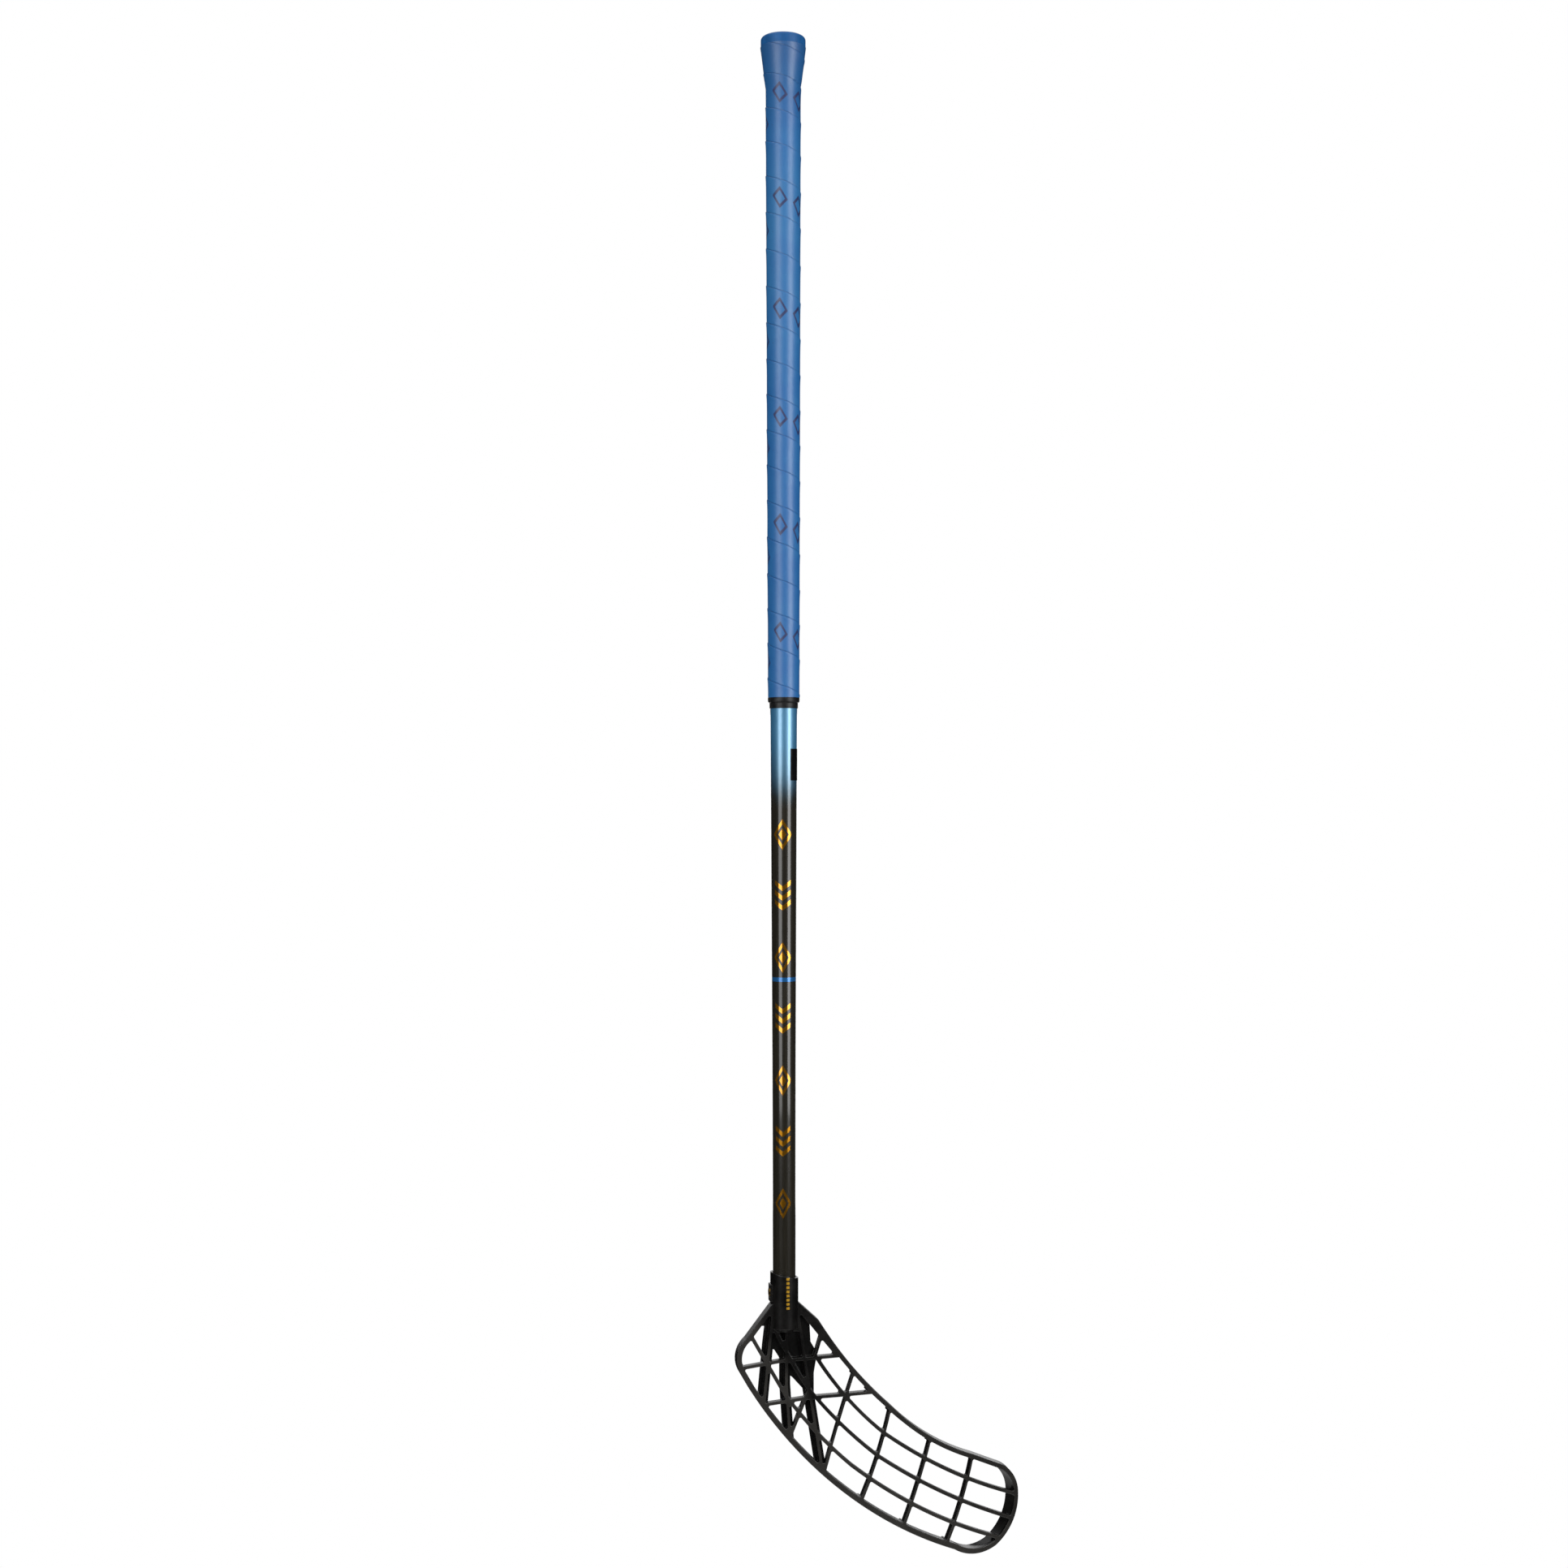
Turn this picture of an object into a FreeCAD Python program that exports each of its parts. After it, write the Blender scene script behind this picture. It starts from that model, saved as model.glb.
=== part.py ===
import FreeCAD, Part
import Sketcher
import math
import os
import re

# Floorball stick, in millimetres. The shaft's axis is Z, the origin is the centre of the butt face,
# and +Z points out of the butt. The blade hangs below, its toe towards +X and its hook towards +Y.
# A depth is a distance below the butt face, so a point at a depth has z = -depth.

# Driving sizes: name, value, what it sets. Angles are in degrees about +Z, from +X.
SIZES = [
    ("shaft_length", 1000.0, "butt face to the lower end of the tube"),
    ("fit_clearance", 0.05, "radial gap between pieces that are pressed or wound on"),
    ("cut_overrun", 5.0, "how far a cutting shape runs past what it cuts"),
    ("tube_wall", 1.3, "wall of the carbon tube"),
    ("tube_top_radius", 12.1, "tube at its upper end"),
    ("tube_waist_radius", 10.5, "tube just below the grip ring"),
    ("tube_low_radius", 9.2, "tube at the end of its main taper"),
    ("tube_socket_radius", 8.75, "tube inside the blade's socket"),
    ("taper_length", 274.9, "main taper, from the grip ring down"),
    ("cap_top", 4.0, "thickness of the butt cap's top"),
    ("cap_radius", 17.4, "rim of the butt cap"),
    ("cap_rim_height", 8.0, "height of the bare rim"),
    ("cap_edge_round", 2.4, "rounding of the butt edge"),
    ("cap_seat_step", 1.45, "step from the rim down to the seat of the tape"),
    ("skirt_length", 36.0, "butt face to the lower edge of the cap's skirt"),
    ("skirt_edge_wall", 0.45, "skirt wall at its lower edge"),
    ("plug_length", 26.0, "butt face to the end of the cap's plug inside the tube"),
    ("plug_wall", 2.0, "wall of the plug"),
    ("grip_length", 512.0, "butt face to the grip ring"),
    ("tape_thickness", 1.6, "grip tape"),
    ("tape_pitch", 27.35, "advance of the tape in one turn"),
    ("tape_gap", 0.6, "open seam between two turns, along the axis"),
    ("tape_start_angle", 222.0, "where the first turn of the tape begins"),
    ("ring_lip_height", 3.5, "lip of the grip ring that closes the tape's end"),
    ("ring_lip_wall", 1.75, "radial thickness of that lip"),
    ("ring_sleeve_height", 4.9, "thin sleeve below the lip"),
    ("ring_sleeve_wall", 0.3, "wall of the sleeve"),
    ("label_drop", 31.3, "grip ring to the upper edge of the label"),
    ("label_height", 24.6, "label along the shaft"),
    ("label_width", 20.0, "label around the shaft"),
    ("label_thickness", 0.2, "label film"),
    ("label_start_angle", 289.5, "left edge of the label"),
    ("socket_depth", 43.0, "length of tube inside the socket"),
    ("hosel_radius", 10.9, "outside of the socket"),
    ("hosel_slant", 5.0, "fall of the socket's mouth from the heel side to the toe side"),
    ("hosel_floor", 3.0, "closed end of the socket"),
    ("hosel_chamfer", 3.0, "chamfer of the closed end"),
    ("glue_thickness", 0.35, "hot-melt layer between tube and socket"),
    ("glue_setback", 1.5, "glue stays this far inside the low side of the mouth"),
    ("screw_drop", 16.0, "high side of the mouth to the screw's axis"),
    ("boss_height", 13.2, "screw boss on the heel side of the socket, along the shaft"),
    ("boss_width", 8.4, "screw boss, from the blade's front to its back"),
    ("boss_reach", 11.7, "shaft axis to the face of the boss"),
    ("screw_head_radius", 3.2, "blade screw"),
    ("screw_head_height", 1.8, "blade screw"),
    ("screw_head_proud", 0.5, "head outside the face of the boss"),
    ("screw_shank_radius", 1.6, "blade screw"),
    ("screw_length", 8.0, "blade screw, below its head"),
    ("screw_clearance", 0.2, "radial gap round the screw"),
    ("screw_tip_length", 1.6, "pointed end of the screw"),
    ("recess_width", 0.8, "arms of the driver recess"),
    ("recess_length", 3.4, "driver recess from end to end"),
    ("recess_depth", 0.9, "driver recess"),
    ("neck_drop", 22.8, "high side of the mouth to where the blade's rim leaves the socket"),
    ("blade_reach", 194.0, "shaft axis to the tip of the toe"),
    ("blade_drop", 210.0, "where the rim leaves the socket to the lowest point of the blade"),
    ("blade_thickness", 10.0, "depth of the rim"),
    ("rim_width", 3.4, "rim, seen from the front"),
    ("neck_rim_width", 7.4, "thickened rim on the toe side of the neck"),
    ("low_rim_growth", 0.9, "further width of the rim along its lower edge"),
    ("rib_width", 2.3, "ribs, seen from the front"),
    ("long_rib_width", 2.8, "ribs along the blade, seen from the front"),
    ("cross_rib_width", 1.6, "ribs across the blade, seen from the front"),
    ("foot_rib_width", 2.4, "lower ends of the ribs across the blade, seen from the front"),
    ("toe_lean", 3.5, "how far the toe's inner wall leans in from the blade's front to its back"),
    ("rib_depth", 5.5, "depth of the ribs, flush with the rim in front"),
    ("rim_ledge", 1.0, "ledge between the rim's inner wall and the hollow behind the ribs"),
    ("window_round", 1.2, "corners of the openings between the ribs"),
    ("backing_bite", 1.0, "how far the web and the bars reach into the back of the ribs"),
    ("web_thickness", 4.0, "closed web behind the ribs under the socket"),
    ("bar_width", 7.6, "bars behind the upright ribs"),
    ("bar_depth", 6.5, "three bars behind the ribs"),
    ("hook_start", 20.0, "shaft axis to where the blade starts to curve"),
    ("hook_radius", 700.0, "curve of the blade's front face"),
]

# Blade outline and ribs. Each point is a share of blade_reach along X and a share of blade_drop
# below the neck. A curved rib's points are read in threes, and each three make one arc.
NECK_LEFT_SHARES = (-0.050, 0.003)
HEEL_ARC_SHARES = [(-0.159, 0.132), (-0.196, 0.195), (-0.178, 0.264)]
BOTTOM_ARC_SHARES = [(-0.145, 0.317), (0.179, 0.671), (0.711, 0.973)]
TOE_LOW_ARC_SHARES = [(0.711, 0.973), (0.821, 1.000), (0.897, 0.980)]
TOE_SIDE_ARC_SHARES = [(0.897, 0.980), (0.978, 0.893), (1.000, 0.797)]
TOE_HIGH_ARC_SHARES = [(1.000, 0.797), (0.977, 0.721), (0.906, 0.670)]
TOP_FRONT_ARC_SHARES = [(0.797, 0.625), (0.653, 0.563), (0.443, 0.414)]
TOP_NECK_ARC_SHARES = [(0.443, 0.414), (0.306, 0.285), (0.136, 0.073)]
NECK_RIGHT_SHARES = (0.053, 0.002)

LONG_RIB_SHARES = [
    [(0.127, 0.210), (0.242, 0.356), (0.405, 0.507), (0.667, 0.663), (0.988, 0.796)],
    [(-0.036, 0.110), (0.026, 0.221), (0.102, 0.334), (0.208, 0.445), (0.381, 0.592),
     (0.651, 0.748), (0.974, 0.887)],
    [(-0.140, 0.118), (-0.074, 0.225), (0.005, 0.351), (0.112, 0.473), (0.271, 0.619),
     (0.526, 0.783), (0.930, 0.959)],
]
CROSS_RIB_SHARES = [
    [(0.284, 0.267), (0.218, 0.451), (0.152, 0.657)],
    [(0.437, 0.409), (0.384, 0.585), (0.313, 0.752)],
    [(0.610, 0.536), (0.559, 0.693), (0.492, 0.860)],
    [(0.796, 0.618), (0.748, 0.783), (0.676, 0.951)],
]
LEVEL_RIB_SHARES = [
    [(-0.184, 0.239), (0.005, 0.216), (0.228, 0.210)],
    [(-0.092, 0.377), (0.104, 0.359), (0.376, 0.354)],
]
SHORT_RIB_SHARES = [
    [(0.150, 0.121), (0.120, 0.210)],
    [(0.097, 0.326), (0.019, 0.500)],
]
PRONG_SHARES = [
    [(-0.051, 0.053), (-0.065, 0.160), (-0.090, 0.399)],
    [(0.005, 0.101), (0.004, 0.308), (0.019, 0.514)],
    [(0.050, 0.043), (0.091, 0.288), (0.153, 0.645)],
]
NECK_RIM_SHARES = [(0.073, 0.029), (0.156, 0.125), (0.224, 0.202)]
WEB_SHARES = [
    (-0.052, 0.029), (-0.133, 0.089), (-0.062, 0.091), (-0.060, 0.173), (-0.041, 0.180),
    (-0.020, 0.211), (0.003, 0.267), (0.030, 0.283), (0.077, 0.331), (0.120, 0.354),
    (0.120, 0.273), (0.130, 0.219), (0.127, 0.188), (0.107, 0.157), (0.103, 0.091),
    (0.148, 0.091), (0.061, 0.014),
]

# Depths and radii that several pieces share, written in the driving sizes
RING_BASE = "(grip_length + ring_lip_height + ring_sleeve_height)"
TAPER_END = f"({RING_BASE} + taper_length)"
MOUTH = "(shaft_length - socket_depth)"
NECK = f"({MOUTH} + neck_drop)"
SCREW_AXIS = f"({MOUTH} + screw_drop)"
BORE_RADIUS = "(tube_socket_radius + glue_thickness + 2 * fit_clearance)"
SEAT_RADIUS = "(cap_radius - cap_seat_step)"
SKIRT_BORE = "(tube_top_radius + fit_clearance)"

POINTS_PER_TURN = 12
BAND_COUNT = 10
ALIASES = [row[0] for row in SIZES]

doc = FreeCAD.newDocument("floorball_stick")
sheet = doc.addObject("Spreadsheet::Sheet", "Sizes")


def fill_sheet():
    """Put every driving size into the sheet under its alias."""
    for line, (alias, number, meaning) in enumerate(SIZES, start=1):
        sheet.set(f"A{line}", alias)
        sheet.set(f"B{line}", str(number))
        sheet.setAlias(f"B{line}", alias)
        sheet.set(f"C{line}", meaning)
    doc.recompute()


def bound(text):
    """Expression text with each alias read from the sheet."""
    return re.sub(r"[a-z_]+", lambda word: "Sizes." + word.group() if word.group() in ALIASES
                  else word.group(), text)


def value(text):
    """Number that an expression gives now."""
    return float(sheet.evalExpression(bound(text)))


def bind(item, **rules):
    """Bind properties of an object to expressions; a double underscore stands for a dot."""
    for name, text in rules.items():
        item.setExpression(name.replace("__", "."), bound(text))
    return item


def upper_tube_radius(depth):
    """Tube radius above the grip ring's lower edge, as expression text."""
    return (f"(tube_top_radius + (tube_waist_radius - tube_top_radius)"
            f" * ({depth} - cap_top) / ({RING_BASE} - cap_top))")


def lower_tube_radius(depth):
    """Tube radius along the main taper, as expression text."""
    return (f"(tube_waist_radius + (tube_low_radius - tube_waist_radius)"
            f" * ({depth} - {RING_BASE}) / taper_length)")


def origin_plane(body, role):
    return next(plane for plane in body.Origin.OriginFeatures if plane.Role == role)


def profile_sketch(body, name, rows):
    """Closed profile in the XZ plane: each row is a radius and a depth, both expression text."""
    sketch = body.newObject("Sketcher::SketchObject", name)
    sketch.AttachmentSupport = [(origin_plane(body, "XZ_Plane"), "")]
    sketch.MapMode = "FlatFace"
    half_turn = FreeCAD.Rotation(FreeCAD.Vector(1, 0, 0), 180)
    sketch.AttachmentOffset = FreeCAD.Placement(FreeCAD.Vector(), half_turn)
    corners = [FreeCAD.Vector(value(radius), value(depth), 0) for radius, depth in rows]
    for index, corner in enumerate(corners):
        following = corners[(index + 1) % len(corners)]
        sketch.addGeometry(Part.LineSegment(corner, following), False)
    for index in range(len(rows)):
        sketch.addConstraint(Sketcher.Constraint("Coincident", index, 2, (index + 1) % len(rows), 1))
    for index, (radius, depth) in enumerate(rows):
        for kind, axis, text in (("DistanceX", -2, radius), ("DistanceY", -1, depth)):
            if text == "0":
                sketch.addConstraint(Sketcher.Constraint("PointOnObject", index, 1, axis))
                continue
            rule = sketch.addConstraint(Sketcher.Constraint(kind, -1, 1, index, 1, value(text)))
            sketch.setExpression(f"Constraints[{rule}]", bound(text))
    return sketch


def turned_body(name, rows):
    """Body of revolution about the shaft's axis."""
    body = doc.addObject("PartDesign::Body", name)
    sketch = profile_sketch(body, name + "_profile", rows)
    doc.recompute()
    turned = body.newObject("PartDesign::Revolution", name + "_turned")
    turned.Profile = sketch
    turned.ReferenceAxis = (sketch, ["V_Axis"])
    doc.recompute()
    return body, turned


def cylinder(name, radius, height, base_depth):
    """Upright cylinder that stands on a depth."""
    shape = doc.addObject("Part::Cylinder", name)
    return bind(shape, Radius=radius, Height=height, Placement__Base__z=f"-{base_depth}")


def heelward_cylinder(name, radius, start, end):
    """Cylinder on the screw's axis, between two distances from the shaft's axis on the heel side."""
    shape = doc.addObject("Part::Cylinder", name)
    shape.Placement.Rotation = FreeCAD.Rotation(FreeCAD.Vector(0, 1, 0), -90)
    return bind(shape, Radius=radius, Height=f"{end} - ({start})", Placement__Base__x=f"-({start})",
                Placement__Base__z=f"-{SCREW_AXIS}")


def cut(name, base, tool):
    """Difference of two objects."""
    result = doc.addObject("Part::Cut", name)
    result.Base = base
    result.Tool = tool
    return result


def fuse(name, pieces):
    """Union of several objects."""
    result = doc.addObject("Part::MultiFuse", name)
    result.Shapes = pieces
    return result


def solid_feature(name, shape):
    """Object that holds a shape made by code."""
    feature = doc.addObject("Part::Feature", name)
    feature.Shape = shape
    return feature


def make_shaft_tube():
    """Tapered carbon tube, open at both ends, with the hole for the blade screw."""
    stations = [
        ("tube_top_radius", "cap_top"),
        ("tube_waist_radius", RING_BASE),
        ("tube_low_radius", TAPER_END),
        ("tube_socket_radius", MOUTH),
        ("tube_socket_radius", "shaft_length"),
    ]
    inside = [(f"{radius} - tube_wall", depth) for radius, depth in reversed(stations)]
    body, _ = turned_body("tube_blank", stations + inside)
    hole = heelward_cylinder("tube_screw_hole", "screw_shank_radius + screw_clearance", "0", "boss_reach")
    return cut("shaft_tube", body, hole)


def make_butt_cap():
    """Flared cap: a skirt outside the tube, a plug inside it, and a bare rim above the tape."""
    plug_radius = f"({upper_tube_radius('plug_length')} - tube_wall - fit_clearance)"
    rows = [
        ("0", "0"),
        ("cap_radius", "0"),
        ("cap_radius", "cap_rim_height"),
        (SEAT_RADIUS, "cap_rim_height"),
        (f"{SKIRT_BORE} + skirt_edge_wall", "skirt_length"),
        (SKIRT_BORE, "skirt_length"),
        (SKIRT_BORE, "cap_top"),
        (plug_radius, "cap_top"),
        (plug_radius, "plug_length"),
        (f"{plug_radius} - plug_wall", "plug_length"),
        (f"{plug_radius} - plug_wall", "cap_top"),
        ("0", "cap_top"),
    ]
    body, turned = turned_body("butt_cap", rows)
    rim = [f"Edge{index}" for index, edge in enumerate(turned.Shape.Edges, start=1)
           if isinstance(edge.Curve, Part.Circle) and abs(edge.BoundBox.ZMax) < value("fit_clearance")
           and abs(edge.Curve.Radius - value("cap_radius")) < value("fit_clearance")]
    rounding = body.newObject("PartDesign::Fillet", "butt_rounding")
    rounding.Base = (turned, rim)
    bind(rounding, Radius="cap_edge_round")
    body.Tip = rounding
    return body


def make_grip_ring():
    """Rubber collar: a lip that closes the end of the tape and a thin sleeve on the tube."""
    bore = f"({upper_tube_radius('grip_length')} + fit_clearance)"
    lip_base = "(grip_length + ring_lip_height)"
    rows = [
        (bore, "grip_length"),
        (f"{bore} + ring_lip_wall", "grip_length"),
        (f"{bore} + ring_lip_wall", lip_base),
        (f"{bore} + ring_sleeve_wall", lip_base),
        (f"{bore} + ring_sleeve_wall", RING_BASE),
        (bore, RING_BASE),
    ]
    body, _ = turned_body("grip_ring", rows)
    return body


def make_shaft_label():
    """Plain film label, wrapped part of the way round the tube below the grip."""
    upper = f"({RING_BASE} + label_drop)"
    lower = f"({RING_BASE} + label_drop + label_height)"
    upper_radius = f"({lower_tube_radius(upper)} + fit_clearance)"
    lower_radius = f"({lower_tube_radius(lower)} + fit_clearance)"
    rows = [
        (upper_radius, upper),
        (f"{upper_radius} + label_thickness", upper),
        (f"{lower_radius} + label_thickness", lower),
        (lower_radius, lower),
    ]
    body, turned = turned_body("shaft_label", rows)
    bind(turned, Angle=f"label_width / {upper_radius} * 180 / pi")
    turned.Reversed = True
    body.Placement.Rotation = FreeCAD.Rotation(FreeCAD.Vector(0, 0, 1), 0)
    bind(body, Placement__Rotation__Angle="label_start_angle")
    return body


def base_radius(depth):
    """Radius that the tape lies on: the cap's skirt, and the tube below it."""
    skirt = value("skirt_length")
    if depth > skirt:
        return value(upper_tube_radius(str(depth)))
    rim = value("cap_rim_height")
    edge = value(f"{SKIRT_BORE} + skirt_edge_wall")
    return value(SEAT_RADIUS) + (edge - value(SEAT_RADIUS)) * (depth - rim) / (skirt - rim)


def tape_edges(turn):
    """Depths of the tape's upper and lower edge after some turns: level at both ends of the grip."""
    start = value("cap_rim_height + fit_clearance")
    end = value("grip_length - fit_clearance")
    travel = start + turn * value("tape_pitch")
    upper = max(start, travel - value("tape_pitch") + value("tape_gap"))
    lower = min(end, travel)
    return upper, lower


def tape_point(turn, depth, lift):
    """Point of the tape at a turn and a depth, lifted off the surface that it lies on."""
    angle = math.radians(value("tape_start_angle")) + 2 * math.pi * turn
    radius = base_radius(depth) + lift
    return FreeCAD.Vector(radius * math.cos(angle), radius * math.sin(angle), -depth)


def tape_corners(turn):
    """Four corners of the tape's section, going round it."""
    upper, lower = tape_edges(turn)
    inner = value("fit_clearance")
    outer = inner + value("tape_thickness")
    return [tape_point(turn, upper, inner), tape_point(turn, lower, inner),
            tape_point(turn, lower, outer), tape_point(turn, upper, outer)]


def smooth_edge(points):
    curve = Part.BSplineCurve()
    curve.interpolate(points)
    return curve.toShape()


def tape_stops():
    """Turns at which the tape is cut into stretches: its ends, and each whole turn between."""
    tip = value("tape_gap / tape_pitch")
    full = value("(grip_length - cap_rim_height - 2 * fit_clearance) / tape_pitch")
    whole = [float(turn) for turn in range(1, math.floor(full) + 1)]
    return [2 * tip] + whole + [full, full + 1 - 2 * tip]


def make_grip_tape():
    """Grip tape wound as one ribbon, with its ends cut to a taper so that the grip ends level."""
    stops = tape_stops()
    faces = []
    sections = []
    for first, last in zip(stops, stops[1:]):
        steps = max(3, math.ceil((last - first) * POINTS_PER_TURN))
        turns = [first + (last - first) * step / steps for step in range(steps + 1)]
        stretch = [tape_corners(turn) for turn in turns]
        rails = [smooth_edge([section[corner] for section in stretch]) for corner in range(4)]
        faces += [Part.makeRuledSurface(rails[corner], rails[(corner + 1) % 4]) for corner in range(4)]
        sections += stretch
    for section in (sections[0], sections[-1]):
        faces.append(Part.Face(Part.makePolygon(section + section[:1])))
    shell = Part.Shell(Part.makeShell(faces).Faces)
    shell.sewShape()
    solid = Part.Solid(shell)
    if solid.Volume < 0:
        solid.reverse()
    return solid_feature("grip_tape", solid)


def tape_gap_to_itself():
    """Least distance between neighbouring turns, measured on points of their facing edges."""
    stops = tape_stops()
    count = math.floor((stops[-1] - stops[0] - 1) * POINTS_PER_TURN)
    turns = [stops[0] + step / POINTS_PER_TURN for step in range(count)]
    lower = [tape_corners(turn)[1] for turn in turns]
    upper = [tape_corners(turn + 1)[0] for turn in turns]
    return min(a.distanceToPoint(b) for a in lower for b in upper)


def blade_point(shares):
    """Point of the blade's flat layout, in the XZ plane."""
    across, down = shares
    depth = value(NECK) + down * value("blade_drop")
    return FreeCAD.Vector(across * value("blade_reach"), 0, -depth)


def arc_edge(shares):
    return Part.Arc(*[blade_point(point) for point in shares]).toShape()


def line_edge(first, last):
    return Part.LineSegment(blade_point(first), blade_point(last)).toShape()


def blade_outline():
    """Face inside the blade's outer edge."""
    edges = [
        line_edge(NECK_LEFT_SHARES, HEEL_ARC_SHARES[0]),
        arc_edge(HEEL_ARC_SHARES),
        line_edge(HEEL_ARC_SHARES[-1], BOTTOM_ARC_SHARES[0]),
        arc_edge(BOTTOM_ARC_SHARES),
        arc_edge(TOE_LOW_ARC_SHARES),
        arc_edge(TOE_SIDE_ARC_SHARES),
        arc_edge(TOE_HIGH_ARC_SHARES),
        line_edge(TOE_HIGH_ARC_SHARES[-1], TOP_FRONT_ARC_SHARES[0]),
        arc_edge(TOP_FRONT_ARC_SHARES),
        arc_edge(TOP_NECK_ARC_SHARES),
        line_edge(TOP_NECK_ARC_SHARES[-1], NECK_RIGHT_SHARES),
        line_edge(NECK_RIGHT_SHARES, NECK_LEFT_SHARES),
    ]
    return Part.Face(Part.Wire(edges))


def layout_box(left, right, lower, upper):
    """Upright rectangle in the blade's flat layout."""
    corners = [FreeCAD.Vector(x, 0, z) for x, z in
               ((left, upper), (right, upper), (right, lower), (left, lower))]
    return Part.Face(Part.makePolygon(corners + corners[:1]))


def straight_strip(points, width):
    """Flat face of a strip that runs straight from point to point, mitred at its bends."""
    legs = [(last - first).normalize() for first, last in zip(points, points[1:])]
    left = []
    right = []
    for point, before, after in zip(points, legs[:1] + legs, legs + legs[-1:]):
        mitre = (before + after).normalize().cross(FreeCAD.Vector(0, 1, 0))
        reach = width / 2 / mitre.dot(before.cross(FreeCAD.Vector(0, 1, 0)))
        left.append(point + mitre * reach)
        right.insert(0, point - mitre * reach)
    corners = left + right
    return [Part.Face(Part.makePolygon(corners + corners[:1]))]


def straight_rib(shares, width):
    """Flat face of a rib with straight stretches."""
    return straight_strip([blade_point(point) for point in shares], width)


def rib_line(shares):
    """Middle line of a curved rib."""
    return Part.Wire([arc_edge(shares[index:index + 3]) for index in range(0, len(shares) - 2, 2)])


def foot_rib(shares, width):
    """Wider lower end of a cross rib, from the lowest long rib into the rim."""
    _, pairs, _ = rib_line(shares).distToShape(rib_line(LONG_RIB_SHARES[-1]))
    start = pairs[0][0]
    end = blade_point(shares[-1])
    return straight_strip([start, end + (end - start).normalize() * value("rim_width")], width)


def curved_rib(shares, width):
    """Flat faces of a rib that runs along arcs, each through three of its points."""
    points = [blade_point(point) for point in shares]
    sideways = FreeCAD.Vector(0, 1, 0)
    faces = [Part.Face(Part.Wire(Part.makeCircle(width / 2, point, sideways))) for point in points[::2]]
    for index in range(0, len(points) - 2, 2):
        stretch = points[index:index + 3]
        centre = Part.Arc(*stretch).toShape().Curve.Center
        sides = []
        for offset in (width / 2, -width / 2):
            sides.append(Part.Arc(*[point + (point - centre).normalize() * offset for point in stretch]))
        ends = [Part.LineSegment(sides[0].EndPoint, sides[1].EndPoint),
                Part.LineSegment(sides[1].StartPoint, sides[0].StartPoint)]
        edges = Part.sortEdges([curve.toShape() for curve in sides + ends])[0]
        faces.append(Part.Face(Part.Wire(edges)))
    return faces


def socket_face():
    """Part of the blade's layout that the socket fills."""
    half = value("hosel_radius")
    return layout_box(-half, half, -value("shaft_length + hosel_floor"), -value(NECK))


def front_y(across):
    """Y of the blade's front face at a distance from the shaft's axis."""
    past = max(0.0, across - value("hook_start"))
    bend = value("hook_radius")
    return -value("blade_thickness") / 2 + bend - math.sqrt(bend ** 2 - past ** 2)


def blade_slab(near, far):
    """Sheet between two depths behind the blade's front: flat at the heel, curved towards the toe."""
    start = value("hook_start")
    front = -value("blade_thickness") / 2
    bend = value("hook_radius")
    reach = value("blade_reach + cut_overrun")
    top = -value(MOUTH)
    height = value(f"{NECK} - {MOUTH} + blade_drop + cut_overrun")
    centre = FreeCAD.Vector(start, front + bend, top)
    sweep = math.asin((reach - start) / (bend - far))

    def bent(depth, share):
        turn = sweep * share
        return centre + FreeCAD.Vector(math.sin(turn), -math.cos(turn), 0) * (bend - depth)

    heel = FreeCAD.Vector(-reach, front + near, top)
    back_heel = FreeCAD.Vector(-reach, front + far, top)
    outer = [bent(near, share) for share in (0, 1 / 2, 1)]
    inner = [bent(far, share) for share in (1, 1 / 2, 0)]
    edges = [
        Part.LineSegment(heel, outer[0]).toShape(),
        Part.Arc(*outer).toShape(),
        Part.LineSegment(outer[2], inner[0]).toShape(),
        Part.Arc(*inner).toShape(),
        Part.LineSegment(inner[2], back_heel).toShape(),
        Part.LineSegment(back_heel, heel).toShape(),
    ]
    return Part.Face(Part.Wire(edges)).extrude(FreeCAD.Vector(0, 0, -height))


def leaning_face(face, across):
    """Face of the layout carried onto the plane that touches the blade's front at some distance along it."""
    past = max(0.0, across - value("hook_start"))
    slope = math.tan(math.asin(past / value("hook_radius")))
    edges = []
    for edge in face.OuterWire.OrderedEdges:
        carried = [FreeCAD.Vector(point.x, front_y(across) + (point.x - across) * slope, point.z)
                   for point in edge.discretize(3)]
        if isinstance(edge.Curve, Part.Line):
            edges.append(Part.LineSegment(carried[0], carried[2]).toShape())
        else:
            edges.append(Part.Arc(*carried).toShape())
    return Part.Face(Part.Wire(Part.sortEdges(edges)[0]))


def square_prism(face):
    """Prism through the whole blade, square to a face on its front."""
    normal = face.normalAt(0, 0)
    if normal.y < 0:
        normal = -normal
    start = face.copy()
    start.translate(-normal * value("cut_overrun"))
    return start.extrude(normal * value("blade_thickness + 2 * cut_overrun"))


def inside_rim(outline, inset):
    """Outline drawn in from the rim's outer edge, and further in along the lower edge."""
    inner = outline.makeOffset2D(-inset)
    across = blade_point(TOP_NECK_ARC_SHARES[0]) - blade_point(BOTTOM_ARC_SHARES[1])
    raised = inner.copy()
    raised.translate(across.normalize() * value("low_rim_growth"))
    return inner.common(raised)


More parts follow.
